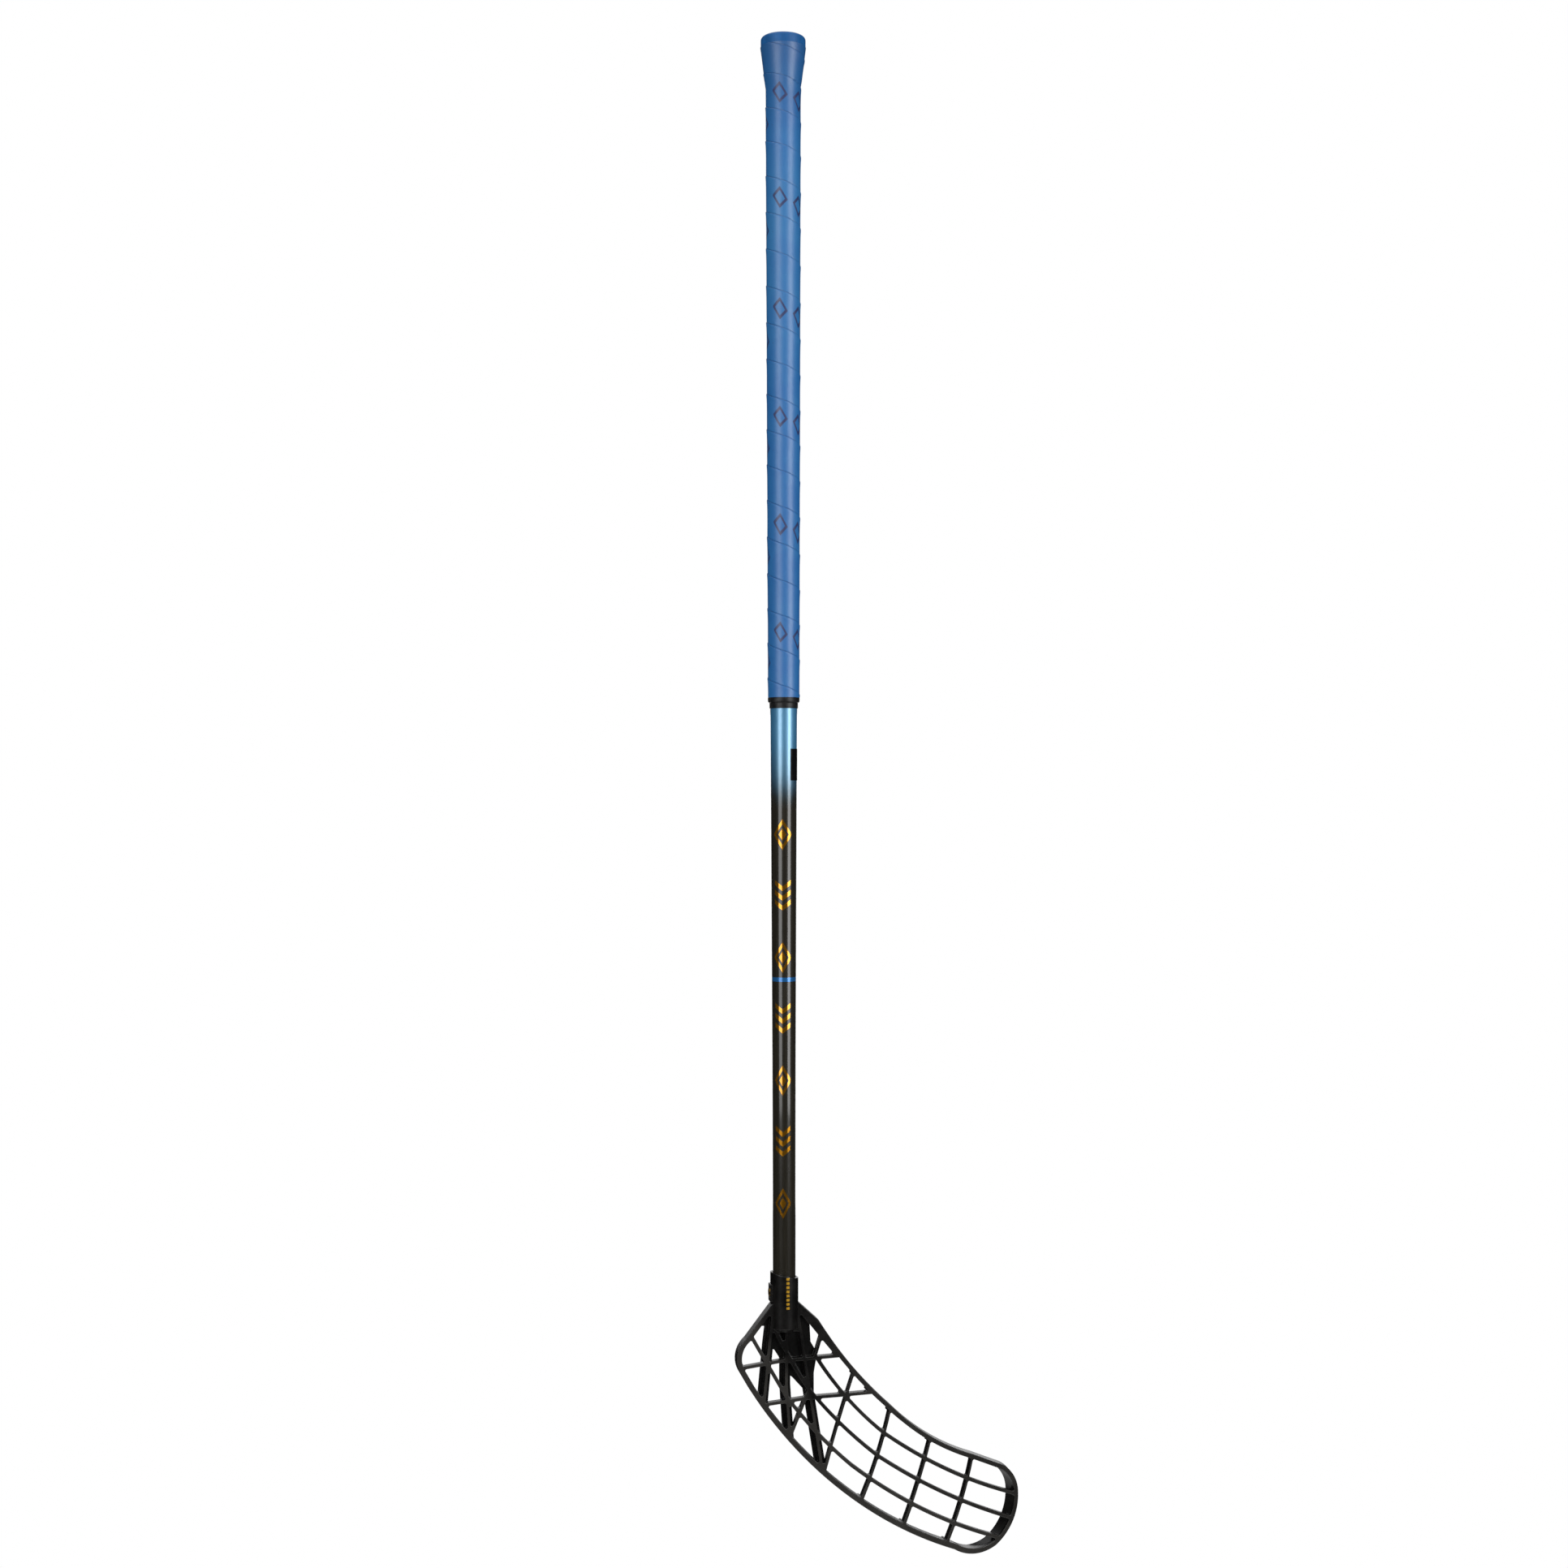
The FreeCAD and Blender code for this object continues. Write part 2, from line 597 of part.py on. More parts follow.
def blade_windows(outline):
    """Openings between rim and ribs, with rounded corners, as prisms square to the blade's front."""
    inner = inside_rim(outline, value("rim_width"))
    ribs = [socket_face()] + straight_rib(NECK_RIM_SHARES, value("neck_rim_width"))
    for shares in LONG_RIB_SHARES:
        ribs += curved_rib(shares, value("long_rib_width"))
    for shares in CROSS_RIB_SHARES:
        ribs += curved_rib(shares, value("cross_rib_width"))
        ribs += foot_rib(shares, value("foot_rib_width"))
    for shares in LEVEL_RIB_SHARES + SHORT_RIB_SHARES + PRONG_SHARES:
        ribs += straight_rib(shares, value("rib_width"))
    rounding = value("window_round")
    smallest = math.pi * rounding ** 2
    openings = [face for face in inner.cut(ribs).Faces if face.Area > 2 * smallest]
    windows = []
    for opening in openings:
        windows += opening.makeOffset2D(-rounding).makeOffset2D(rounding).Faces
    return [square_prism(leaning_face(window, window.CenterOfMass.x)) for window in windows]


def blade_hollow(outline):
    """Space behind the ribs, inside the rim, put together from upright bands that follow the curve."""
    inner = inside_rim(outline, value("rim_width + rim_ledge"))
    box = inner.BoundBox
    box.enlarge(value("cut_overrun"))
    width = box.XLength / BAND_COUNT
    behind = blade_slab(value("rib_depth"), value("blade_thickness + cut_overrun"))
    prisms = []
    for index in range(BAND_COUNT):
        left = box.XMin + index * width
        band = inner.common(layout_box(left, left + width, box.ZMin, box.ZMax))
        for face in band.Faces:
            prisms.append(square_prism(leaning_face(face, face.CenterOfMass.x)).common(behind))
    return prisms[0].fuse(prisms[1:])


def toe_wall(outline):
    """Rim round the toe, carried back on a slant along the top edge so that its inner wall leans in."""
    inner = outline.makeOffset2D(-value("rim_width - backing_bite / 2"))
    box = outline.BoundBox
    box.enlarge(value("cut_overrun"))
    left = blade_point(BOTTOM_ARC_SHARES[-1]).x
    strip = outline.cut(inner).common(layout_box(left, box.XMax, box.ZMin, box.ZMax)).Faces[0]
    start = leaning_face(strip, value("blade_reach - rim_width"))
    inwards = blade_point(TOP_FRONT_ARC_SHARES[0]) - blade_point(TOE_HIGH_ARC_SHARES[-1])
    back = start.normalAt(0, 0) * value("blade_thickness")
    if back.y < 0:
        back = -back
    slant = back + inwards.normalize() * value("toe_lean")
    overrun = value("cut_overrun / blade_thickness")
    start.translate(slant * -overrun)
    return start.extrude(slant * (1 + 2 * overrun))


def make_blade_grid():
    """Rim and ribs cut from the curved slab, with the web and the three bars behind them."""
    outline = blade_outline()
    deep = value("blade_thickness + hook_start + blade_reach")
    block = outline.copy()
    block.translate(FreeCAD.Vector(0, -deep, 0))
    slab = blade_slab(0, value("blade_thickness"))
    windows = blade_windows(outline)
    blank = block.extrude(FreeCAD.Vector(0, 2 * deep, 0)).common(slab)
    grid = blank.cut(windows).cut(blade_hollow(outline))
    for window in windows:
        if grid.isInside(window.CenterOfMass, value("fit_clearance"), False):
            raise RuntimeError("a window of the blade stayed closed")
    grid = grid.fuse(toe_wall(outline).common(blank))

    root = value("rib_depth - backing_bite - blade_thickness / 2")
    web = Part.Face(Part.makePolygon([blade_point(point) for point in WEB_SHARES + WEB_SHARES[:1]]))
    backing = [web.extrude(FreeCAD.Vector(0, value("web_thickness"), 0))]
    for shares in PRONG_SHARES:
        for face in straight_rib(shares, value("bar_width")):
            backing.append(face.extrude(FreeCAD.Vector(0, value("bar_depth"), 0)))
    inside = outline.makeOffset2D(-value("rim_width / 2")).extrude(FreeCAD.Vector(0, value("bar_depth"), 0))
    backing = backing[0].fuse(backing[1:]).common(inside)
    backing.translate(FreeCAD.Vector(0, root, 0))
    return solid_feature("blade_grid", grid.fuse(backing).removeSplitter())


def make_blade():
    """One moulding: socket with screw boss, rim, ribs, web and bars."""
    rows = [
        ("0", MOUTH),
        ("hosel_radius", MOUTH),
        ("hosel_radius", "shaft_length + hosel_floor - hosel_chamfer"),
        ("hosel_radius - hosel_chamfer", "shaft_length + hosel_floor"),
        ("0", "shaft_length + hosel_floor"),
    ]
    hosel, _ = turned_body("hosel", rows)
    boss = doc.addObject("Part::Box", "screw_boss")
    bind(boss, Length="boss_reach", Width="boss_width", Height="boss_height",
         Placement__Base__x="-boss_reach", Placement__Base__y="-boss_width / 2",
         Placement__Base__z=f"-{SCREW_AXIS} - boss_height / 2")
    solid = fuse("blade_solid", [make_blade_grid(), hosel, boss])

    bore = cylinder("hosel_bore", BORE_RADIUS, "socket_depth + cut_overrun", "shaft_length")
    slant = doc.addObject("Part::Box", "mouth_slant")
    slant.Placement.Rotation = FreeCAD.Rotation(FreeCAD.Vector(0, 1, 0), 1)
    bind(slant, Length="4 * hosel_radius", Width="4 * hosel_radius", Height="hosel_radius",
         Placement__Base__x="-2 * hosel_radius", Placement__Base__y="-2 * hosel_radius",
         Placement__Base__z=f"-{MOUTH} + hosel_slant / 2",
         Placement__Rotation__Angle="atan(hosel_slant / (2 * hosel_radius))")
    shank = heelward_cylinder("blade_screw_hole", "screw_shank_radius + screw_clearance",
                              "0", "boss_reach + cut_overrun")
    head = heelward_cylinder("blade_head_seat", "screw_head_radius + screw_clearance",
                             "boss_reach - screw_head_height + screw_head_proud",
                             "boss_reach + cut_overrun")
    return cut("blade", solid, fuse("blade_cuts", [bore, slant, shank, head]))


def make_hosel_adhesive():
    """Hot-melt glue between tube and socket, pierced by the screw."""
    length = "(socket_depth - hosel_slant - glue_setback)"
    outer = cylinder("glue_outside", f"{BORE_RADIUS} - fit_clearance", length, "shaft_length")
    inner = cylinder("glue_inside", "tube_socket_radius + fit_clearance", length, "shaft_length")
    hole = heelward_cylinder("glue_screw_hole", "screw_shank_radius + screw_clearance", "0", "boss_reach")
    return cut("hosel_adhesive", outer, fuse("glue_cuts", [inner, hole]))


def recess_pocket(body, name, across, along):
    """One arm of the driver recess, cut into the screw's head."""
    sketch = body.newObject("Sketcher::SketchObject", name + "_sketch")
    sketch.AttachmentSupport = [(origin_plane(body, "XY_Plane"), "")]
    sketch.MapMode = "FlatFace"
    half_x = value(across) / 2
    half_y = value(along) / 2
    corners = [FreeCAD.Vector(x, y, 0) for x, y in
               ((-half_x, -half_y), (half_x, -half_y), (half_x, half_y), (-half_x, half_y))]
    for index, corner in enumerate(corners):
        sketch.addGeometry(Part.LineSegment(corner, corners[(index + 1) % 4]), False)
    for index in range(4):
        sketch.addConstraint(Sketcher.Constraint("Coincident", index, 2, (index + 1) % 4, 1))
        sketch.addConstraint(Sketcher.Constraint("Vertical" if index % 2 else "Horizontal", index))
    sketch.addConstraint(Sketcher.Constraint("Symmetric", 0, 1, 2, 1, -1, 1))
    for index, text in ((0, across), (1, along)):
        rule = sketch.addConstraint(Sketcher.Constraint("Distance", index, value(text)))
        sketch.setExpression(f"Constraints[{rule}]", bound(text))
    doc.recompute()
    before = body.Shape.Volume
    pocket = body.newObject("PartDesign::Pocket", name)
    pocket.Profile = sketch
    bind(pocket, Length="recess_depth")
    doc.recompute()
    if body.Shape.Volume >= before:
        raise RuntimeError(name + " cuts nothing")


def make_blade_screw():
    """Self-tapping screw with a cross recess, driven from the heel side into the tube."""
    end = "(screw_head_height + screw_length)"
    rows = [
        ("0", "0"),
        ("screw_head_radius", "0"),
        ("screw_head_radius", "screw_head_height"),
        ("screw_shank_radius", "screw_head_height"),
        ("screw_shank_radius", f"{end} - screw_tip_length"),
        ("0", end),
    ]
    body, _ = turned_body("blade_screw", rows)
    recess_pocket(body, "recess_upright", "recess_width", "recess_length")
    recess_pocket(body, "recess_level", "recess_length", "recess_width")
    body.Placement.Rotation = FreeCAD.Rotation(FreeCAD.Vector(0, 1, 0), -90)
    return bind(body, Placement__Base__x="-(boss_reach + screw_head_proud)",
                Placement__Base__z=f"-{SCREW_AXIS}")


def check_document(pieces):
    """Stop if any object failed or any piece is not one sound solid."""
    for item in doc.Objects:
        if "Invalid" in item.State or "Error" in item.State:
            raise RuntimeError(f"{item.Name} failed: {item.State}")
    for piece in pieces:
        shape = piece.Shape
        if shape.isNull() or not shape.isValid() or len(shape.Solids) != 1:
            raise RuntimeError(f"{piece.Label} is not one sound solid")


def main():
    fill_sheet()
    pieces = [
        make_shaft_tube(),
        make_butt_cap(),
        make_grip_tape(),
        make_grip_ring(),
        make_shaft_label(),
        make_blade(),
        make_blade_screw(),
        make_hosel_adhesive(),
    ]
    doc.recompute()
    check_document(pieces)
    print(f"grip tape: least gap to itself {tape_gap_to_itself():.2f} mm")
    os.makedirs("parts", exist_ok=True)
    for piece in pieces:
        piece.Shape.exportStep(f"parts/{piece.Label}.step")


main()
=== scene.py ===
"""Floorball stick: wound grip, lacquered shaft and open ribbed blade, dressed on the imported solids."""

import math

import bmesh
import bpy
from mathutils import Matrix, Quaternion, Vector, noise


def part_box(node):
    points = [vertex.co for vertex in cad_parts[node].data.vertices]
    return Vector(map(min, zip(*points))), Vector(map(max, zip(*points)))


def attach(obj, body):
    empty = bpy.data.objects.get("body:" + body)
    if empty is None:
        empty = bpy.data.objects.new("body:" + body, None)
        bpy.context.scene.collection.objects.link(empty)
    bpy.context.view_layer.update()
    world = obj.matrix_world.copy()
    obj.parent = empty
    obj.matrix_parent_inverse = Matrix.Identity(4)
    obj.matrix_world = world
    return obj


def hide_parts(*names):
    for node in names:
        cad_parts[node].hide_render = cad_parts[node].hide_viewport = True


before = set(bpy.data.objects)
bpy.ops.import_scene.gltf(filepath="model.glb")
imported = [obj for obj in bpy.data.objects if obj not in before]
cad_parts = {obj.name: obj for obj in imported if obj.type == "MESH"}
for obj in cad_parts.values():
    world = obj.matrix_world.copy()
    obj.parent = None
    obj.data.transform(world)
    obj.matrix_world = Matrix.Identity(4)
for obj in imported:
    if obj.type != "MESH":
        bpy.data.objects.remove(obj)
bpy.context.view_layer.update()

bl_info = {
    "name": "Floorball Stick",
    "version": (1, 0, 0),
    "blender": (4, 5, 0),
    "location": "View3D > Sidebar > Floorball",
    "description": "Dresses the solids of a floorball stick and sets up its studio",
    "category": "Add Mesh",
}

MM = 0.001
TURN = 2 * math.pi
# Flat sides of a turned piece, and the angle from which its edges stay sharp.
AROUND = 96
CREASE = math.radians(40)
# Corners closer than this are one.
MERGE = 0.001 * MM
# Side of the picture and focal length of the camera, in pixels, and width of the sensor in millimetres.
FRAME_SIDE = 1932
FOCAL = 2700
SENSOR = 36.0
# Middle of a cell, a lap or a row, whose width counts as 1.
MIDDLE = 0.5
# Depths on the grip, and how far the hand-wound turns lie below their even place there, in millimetres.
WINDING_DRIFT = (
    (8, 0.0), (20, 0.0), (37, -5.0), (58, -5.0), (100, -6.8), (150, -5.8), (200, -3.1), (250, -1.4),
    (360, -1.2), (415, 1.4), (470, 0.5), (512, 0.0),
)

CAP_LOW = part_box("butt_cap")[0]
TAPE_LOW, TAPE_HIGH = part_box("grip_tape")
RING_LOW, RING_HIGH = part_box("grip_ring")
TUBE_LOW, TUBE_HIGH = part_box("shaft_tube")
BLADE_LOW, BLADE_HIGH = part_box("blade")


def linear(code):
    """Linear red, green and blue of an sRGB hex colour."""
    shares = [int(code[start:start + 2], 16) / 255 for start in (0, 2, 4)]
    return [s / 12.92 if s <= 0.04045 else ((s + 0.055) / 1.055) ** 2.4 for s in shares]


def length(name, description, default):
    """A size in metres that a user may change."""
    return bpy.props.FloatProperty(
        name=name, description=description, default=default, min=0.0, unit="LENGTH")


def turning(name, description, degrees):
    """An angle that a user may change, from its degrees."""
    return bpy.props.FloatProperty(
        name=name, description=description, default=math.radians(degrees), subtype="ANGLE")


def wattage(name, description, watts):
    """A lamp's power that a user may change."""
    return bpy.props.FloatProperty(name=name, description=description, default=watts, unit="POWER")


def colour(name, description, code):
    """A colour that a user may change, from its sRGB hex value."""
    return bpy.props.FloatVectorProperty(
        name=name, description=description, default=linear(code), size=3, min=0.0, max=1.0, subtype="COLOR")


class FLOORBALL_PG_grip(bpy.types.PropertyGroup):
    """Sizes and colours of the wound grip, the butt cap and the collar below them."""
    pitch: length("Pitch", "Depth that the tape gains in one turn", 27.35 * MM)
    thickness: length("Thickness", "Thickness of the tape", 1.6 * MM)
    ridge: length("Ridge", "Height by which a turn's upper edge rides on the turn above", 0.4 * MM)
    seam: length("Seam", "Width of the open line between two turns", 0.06 * MM)
    unevenness: length("Unevenness", "How far the hand-wound surface wanders in and out", 0.12 * MM)
    start: turning("Start", "Direction in which the winding starts", 222)
    cap_flare: length("Cap Flare", "Radius of the cap's skirt under the tape, at its upper end", 15.95 * MM)
    cap_skirt: length("Skirt Radius", "Radius of the cap's skirt at its thin lower edge", 12.55 * MM)
    tape: colour("Tape", "Body colour of the foam tape", "0F67AE")
    # Partly painted light: besides rubbed patches, this paler blue lays a painted light band on the upper
    # grip.
    tape_worn_and_lit: colour("Tape, Rubbed and Lit", "Tape rubbed paler, and painted light on the upper grip", "2E7DB8")
    tape_seam: colour("Tape Seam", "Shade in the line between two turns", "0F4176")
    tape_print: colour("Tape Print", "Outlined lozenges printed on the tape", "26285C")
    # Painted shade: this darker blue stands in for the weaker light at the butt end.
    tape_painted_shade: colour("Tape, Painted Shade", "Tape and cap at the butt, darkened as painted shade", "0B4478")
    rubber: colour("Collar", "Rubber of the collar", "151516")
    rubber_dust: colour("Collar Dust", "Dust that clings to the collar", "8A8A88")


class FLOORBALL_PG_shaft(bpy.types.PropertyGroup):
    """Sizes and colours of the lacquered tube."""
    wall: length("Wall", "Wall of the tube", 1.3 * MM)
    waist: length("Waist Radius", "Radius at the collar's lower edge", 10.5 * MM)
    low: length("Low Radius", "Radius at the end of the quick taper", 9.2 * MM)
    socket: length("Socket Radius", "Radius where the tube goes into the blade", 8.75 * MM)
    taper: length("Taper Length", "Length of the quick taper below the collar", 274.9 * MM)
    fade_start: length("Fade Start", "Depth at which the blue starts to turn black", 538 * MM)
    fade_end: length("Fade End", "Depth at which the lacquer is all black", 592 * MM)
    stripe_depth: length("Stripe Depth", "Depth of the thin blue ring stripe", 730.1 * MM)
    stripe_width: length("Stripe Width", "Width of the thin blue ring stripe", 3.3 * MM)
    motif_depth: length("Motif Depth", "Depth of the first gold motif's centre", 618 * MM)
    motif_step: length("Motif Step", "Distance between the centres of two motifs", 47.5 * MM)
    motif_turn: turning("Motif Turn", "Direction that the motifs face", -107)
    blue: colour("Blue", "Blue pigment of the metallic lacquer", "3394D0")
    flake: colour("Flake", "Pale metal flakes in the lacquer", "A2D2EE")
    black: colour("Black", "Black lacquer over carbon", "24211A")
    fibre: colour("Fibre", "Carbon fibres that show through the black", "38342B")
    stripe: colour("Stripe", "Ring stripe", "2F7CC4")
    gold: colour("Gold", "Gold foil motifs", "F0A623")
    label: colour("Label", "Film of the small label", "08080A")
    label_rub: colour("Label, Rubbed", "Fine rubs on the label", "3A3A3C")


class FLOORBALL_PG_blade(bpy.types.PropertyGroup):
    """Sizes and colours of the blade and its fixings."""
    edge: length("Edge", "Radius that the mould leaves on the ribs' edges", 1.1 * MM)
    black: colour("Black", "Black moulded plastic", "0A0909")
    # Partly painted light: besides light scuffs, this paler plastic lightens the lower edge and the open
    # front faces.
    scuffed_and_lit: colour("Scuffed and Lit", "Paler plastic of light scuffs and painted light", "403E3B")
    gold: colour("Gold", "Row of dashes down the socket", "E2AE33")
    brass: colour("Brass", "Screw", "C9A45A")
    brass_film: colour("Brass, Dulled", "Dull film on the screw", "8A6A34")
    glue: colour("Glue", "Hot-melt glue", "D9CFB0")
    glue_cloud: colour("Glue, Clouded", "Clouds in the glue", "A89A70")


class FLOORBALL_PG_studio(bpy.types.PropertyGroup):
    """Camera, lamps, floor and dark cloth."""
    distance: length("Distance", "Distance from the camera to the shaft's axis", 1.701)
    height: bpy.props.FloatProperty(
        name="Height", description="Height of the camera in the stick's frame", default=-0.579, unit="LENGTH")
    turn: turning("Turn", "Turn of the camera about the shaft", 11)
    aside: length("Aside", "How far the camera stands to its right of the shaft", 0.17 * MM)
    roll: turning("Roll", "Roll of the camera", -0.048)
    lens: bpy.props.FloatProperty(
        name="Lens", description="Focal length of the camera", default=SENSOR * FOCAL / FRAME_SIDE,
        unit="CAMERA")
    left: wattage("Left Lamp", "Power of the left lamp", 6.6)
    right: wattage("Right Lamp", "Power of the right lamp", 9.4)
    top: wattage("Top Lamp", "Power of the top lamp", 3.0)
    back: wattage("Back Lamp", "Power of the back lamp", 4.8)
    ambient: bpy.props.FloatProperty(
        name="Ambient", description="Even light from all round", default=0.35, min=0.0, subtype="FACTOR")
    drop: length("Floor Drop", "How far the floor lies below the blade", 0.26)
    floor_radius: length("Floor Radius", "Radius of the floor", 12.0)
    cloth_hole: length("Cloth Hole", "Radius of the hole in the cloth below the stick", 0.45)
    cloth_radius: length("Cloth Radius", "Radius at which the cloth turns upwards", 3.6)
    cloth_height: length("Cloth Height", "How far the cloth rises", 4.6)
    floor: colour("Floor", "Pale floor", "F4F4F2")
    cloth: colour("Cloth", "Dark cloth that only reflections show", "1C1C1C")


def opaque(value):
    """A colour socket's value from red, green and blue."""
    return (*value, 1.0)


def node(tree, kind, sockets=None, **settings):
    """Add a node. Its sockets are given as values, or as the node or socket that feeds them."""
    made = tree.nodes.new(kind)
    for name, value in settings.items():
        setattr(made, name, value)
    for key, value in (sockets or {}).items():
        named = [s for s in made.inputs if s.enabled and s.name == key]
        socket = named[0] if named else made.inputs[key]
        if isinstance(value, bpy.types.Node):
            value = next(out for out in value.outputs if out.enabled)
        if isinstance(value, bpy.types.NodeSocket):
            tree.links.new(value, socket)
        else:
            socket.default_value = value
    return made


def empty_material(name):
    """A material with an empty node tree, and that tree."""
    material = bpy.data.materials.new(name)
    material.use_nodes = True
    material.node_tree.nodes.clear()
    return material, material.node_tree


def foam_tape(grip):
    """Polyurethane foam tape, cast with a dry grain: soft broad highlights and rubbed, paler patches, with
    painted light and shade.
    """
    material, tree = empty_material("polyurethane_foam_tape")
    place = node(tree, "ShaderNodeTexCoord").outputs["Object"]
    winding = node(tree, "ShaderNodeSeparateXYZ", {0: node(tree, "ShaderNodeUVMap", uv_map="winding")})
    around = winding.outputs["X"]
    off_middle = node(tree, "ShaderNodeMath", {0: winding.outputs["Y"], 1: MIDDLE}, operation="SUBTRACT")
    from_middle = node(tree, "ShaderNodeMath", {0: off_middle}, operation="ABSOLUTE")
    # The seam's shade spreads about 0.7 mm on each side of the line.
    seam = node(tree, "ShaderNodeMapRange", {
        "Value": from_middle, "From Min": 0.474, "From Max": 0.5, "To Max": 0.4},
        interpolation_type="SMOOTHSTEP")
    # Every third lap carries a row of five outlined lozenges, about 12 mm wide and 16 mm high. Half their
    # width is a share of a cell, half their height a share of the tape's width, and their line lies at a
    # share of both.
    laps_apart = 3.0
    printed_lap = 1.0
    per_lap = 5.0
    row_shift = 0.15
    half_wide = 0.36
    half_high = 0.29
    line_place = 0.86
    lap = node(tree, "ShaderNodeMath", {0: around}, operation="FLOOR")
    row = node(tree, "ShaderNodeMath", {0: lap, 1: laps_apart}, operation="FLOORED_MODULO")
    printed = node(tree, "ShaderNodeMath", {0: row, 1: printed_lap, 2: 0.1}, operation="COMPARE")
    cells = node(tree, "ShaderNodeMath", {0: around, 1: per_lap, 2: row_shift}, operation="MULTIPLY_ADD")
    cell = node(tree, "ShaderNodeMath", {0: cells}, operation="FRACT")
    off_cell = node(tree, "ShaderNodeMath", {0: cell, 1: MIDDLE}, operation="SUBTRACT")
    from_cell = node(tree, "ShaderNodeMath", {0: off_cell}, operation="ABSOLUTE")
    wide = node(tree, "ShaderNodeMath", {0: from_cell, 1: half_wide}, operation="DIVIDE")
    high = node(tree, "ShaderNodeMath", {0: from_middle, 1: half_high}, operation="DIVIDE")
    lozenge = node(tree, "ShaderNodeMath", {0: wide, 1: high}, operation="ADD")
    off_line = node(tree, "ShaderNodeMath", {0: lozenge, 1: line_place}, operation="SUBTRACT")
    from_line = node(tree, "ShaderNodeMath", {0: off_line}, operation="ABSOLUTE")
    line = node(tree, "ShaderNodeMapRange", {
        "Value": from_line, "From Min": 0.16, "From Max": 0.21, "To Min": 0.9, "To Max": 0.0})
    print_share = node(tree, "ShaderNodeMath", {0: line, 1: printed}, operation="MULTIPLY")
    # Rubbed patches are about 18 mm across.
    rubbed = node(tree, "ShaderNodeTexNoise", {
        "Vector": place, "Scale": 1 / (18 * MM), "Detail": 4.0, "Roughness": 0.6})
    rub_share = node(tree, "ShaderNodeMapRange", {
        "Value": rubbed.outputs["Fac"], "From Min": 0.4, "From Max": 0.75, "To Max": 0.5})
    # A painted light band, strongest about 160 mm below the butt, adds to the rubbed patches.
    lit_band_depth = 160 * MM
    butt = node(tree, "ShaderNodeSeparateXYZ", {0: place}).outputs["Z"]
    off_lit_band = node(tree, "ShaderNodeMath", {0: butt, 1: lit_band_depth}, operation="ADD")
    from_lit_band = node(tree, "ShaderNodeMath", {0: off_lit_band}, operation="ABSOLUTE")
    lit_band_share = node(tree, "ShaderNodeMapRange", {
        "Value": from_lit_band, "From Min": 40 * MM, "From Max": 110 * MM, "To Min": 0.4, "To Max": 0.0})
    rubbed_and_lit = node(tree, "ShaderNodeMath", {0: rub_share, 1: lit_band_share}, operation="ADD")
    body = node(tree, "ShaderNodeMix", {
        "Factor": rubbed_and_lit, "A": opaque(grip.tape), "B": opaque(grip.tape_worn_and_lit)}, data_type="RGBA")
    # Painted shade darkens the first 80 mm below the butt, most at the top.
    top_shade_share = node(tree, "ShaderNodeMapRange", {
        "Value": butt, "From Min": -80 * MM, "From Max": -10 * MM, "To Max": 0.5})
    top_shaded = node(tree, "ShaderNodeMix", {
        "Factor": top_shade_share, "A": body, "B": opaque(grip.tape_painted_shade)}, data_type="RGBA")
    inked = node(tree, "ShaderNodeMix", {
        "Factor": print_share, "A": top_shaded, "B": opaque(grip.tape_print)}, data_type="RGBA")
    shaded = node(tree, "ShaderNodeMix", {
        "Factor": seam, "A": inked, "B": opaque(grip.tape_seam)}, data_type="RGBA")
    # The real grain is about 0.3 mm. It is drawn at 1 mm so that it shows.
    grain = node(tree, "ShaderNodeTexNoise", {"Vector": place, "Scale": 1 / (1.0 * MM), "Detail": 3.0})
    # Pulling the tape tight leaves shallow creases along the turns, three in a lap and about 6 mm apart.
    creases_apart = (3.0, 4.6, 1.0)
    stretched = node(tree, "ShaderNodeVectorMath", {
        0: node(tree, "ShaderNodeUVMap", uv_map="winding"), 1: creases_apart}, operation="MULTIPLY")
    creases = node(tree, "ShaderNodeTexNoise", {"Vector": stretched, "Scale": 1.0, "Detail": 2.0})
    creased = node(tree, "ShaderNodeBump", {
        "Height": creases.outputs["Fac"], "Strength": 0.35, "Distance": 0.6 * MM})
    bumped = node(tree, "ShaderNodeBump", {
        "Height": grain.outputs["Fac"], "Strength": 0.3, "Distance": 0.25 * MM, "Normal": creased})
    gloss = node(tree, "ShaderNodeMapRange", {
        "Value": rubbed.outputs["Fac"], "To Min": 0.48, "To Max": 0.36})
    shader = node(tree, "ShaderNodeBsdfPrincipled", {
        "Base Color": shaded, "Roughness": gloss, "Normal": bumped, "IOR": 1.5,
        "Specular IOR Level": 1.0, "Coat Weight": 0.4, "Coat Roughness": 0.4})
    node(tree, "ShaderNodeOutputMaterial", {"Surface": shader})
    return material


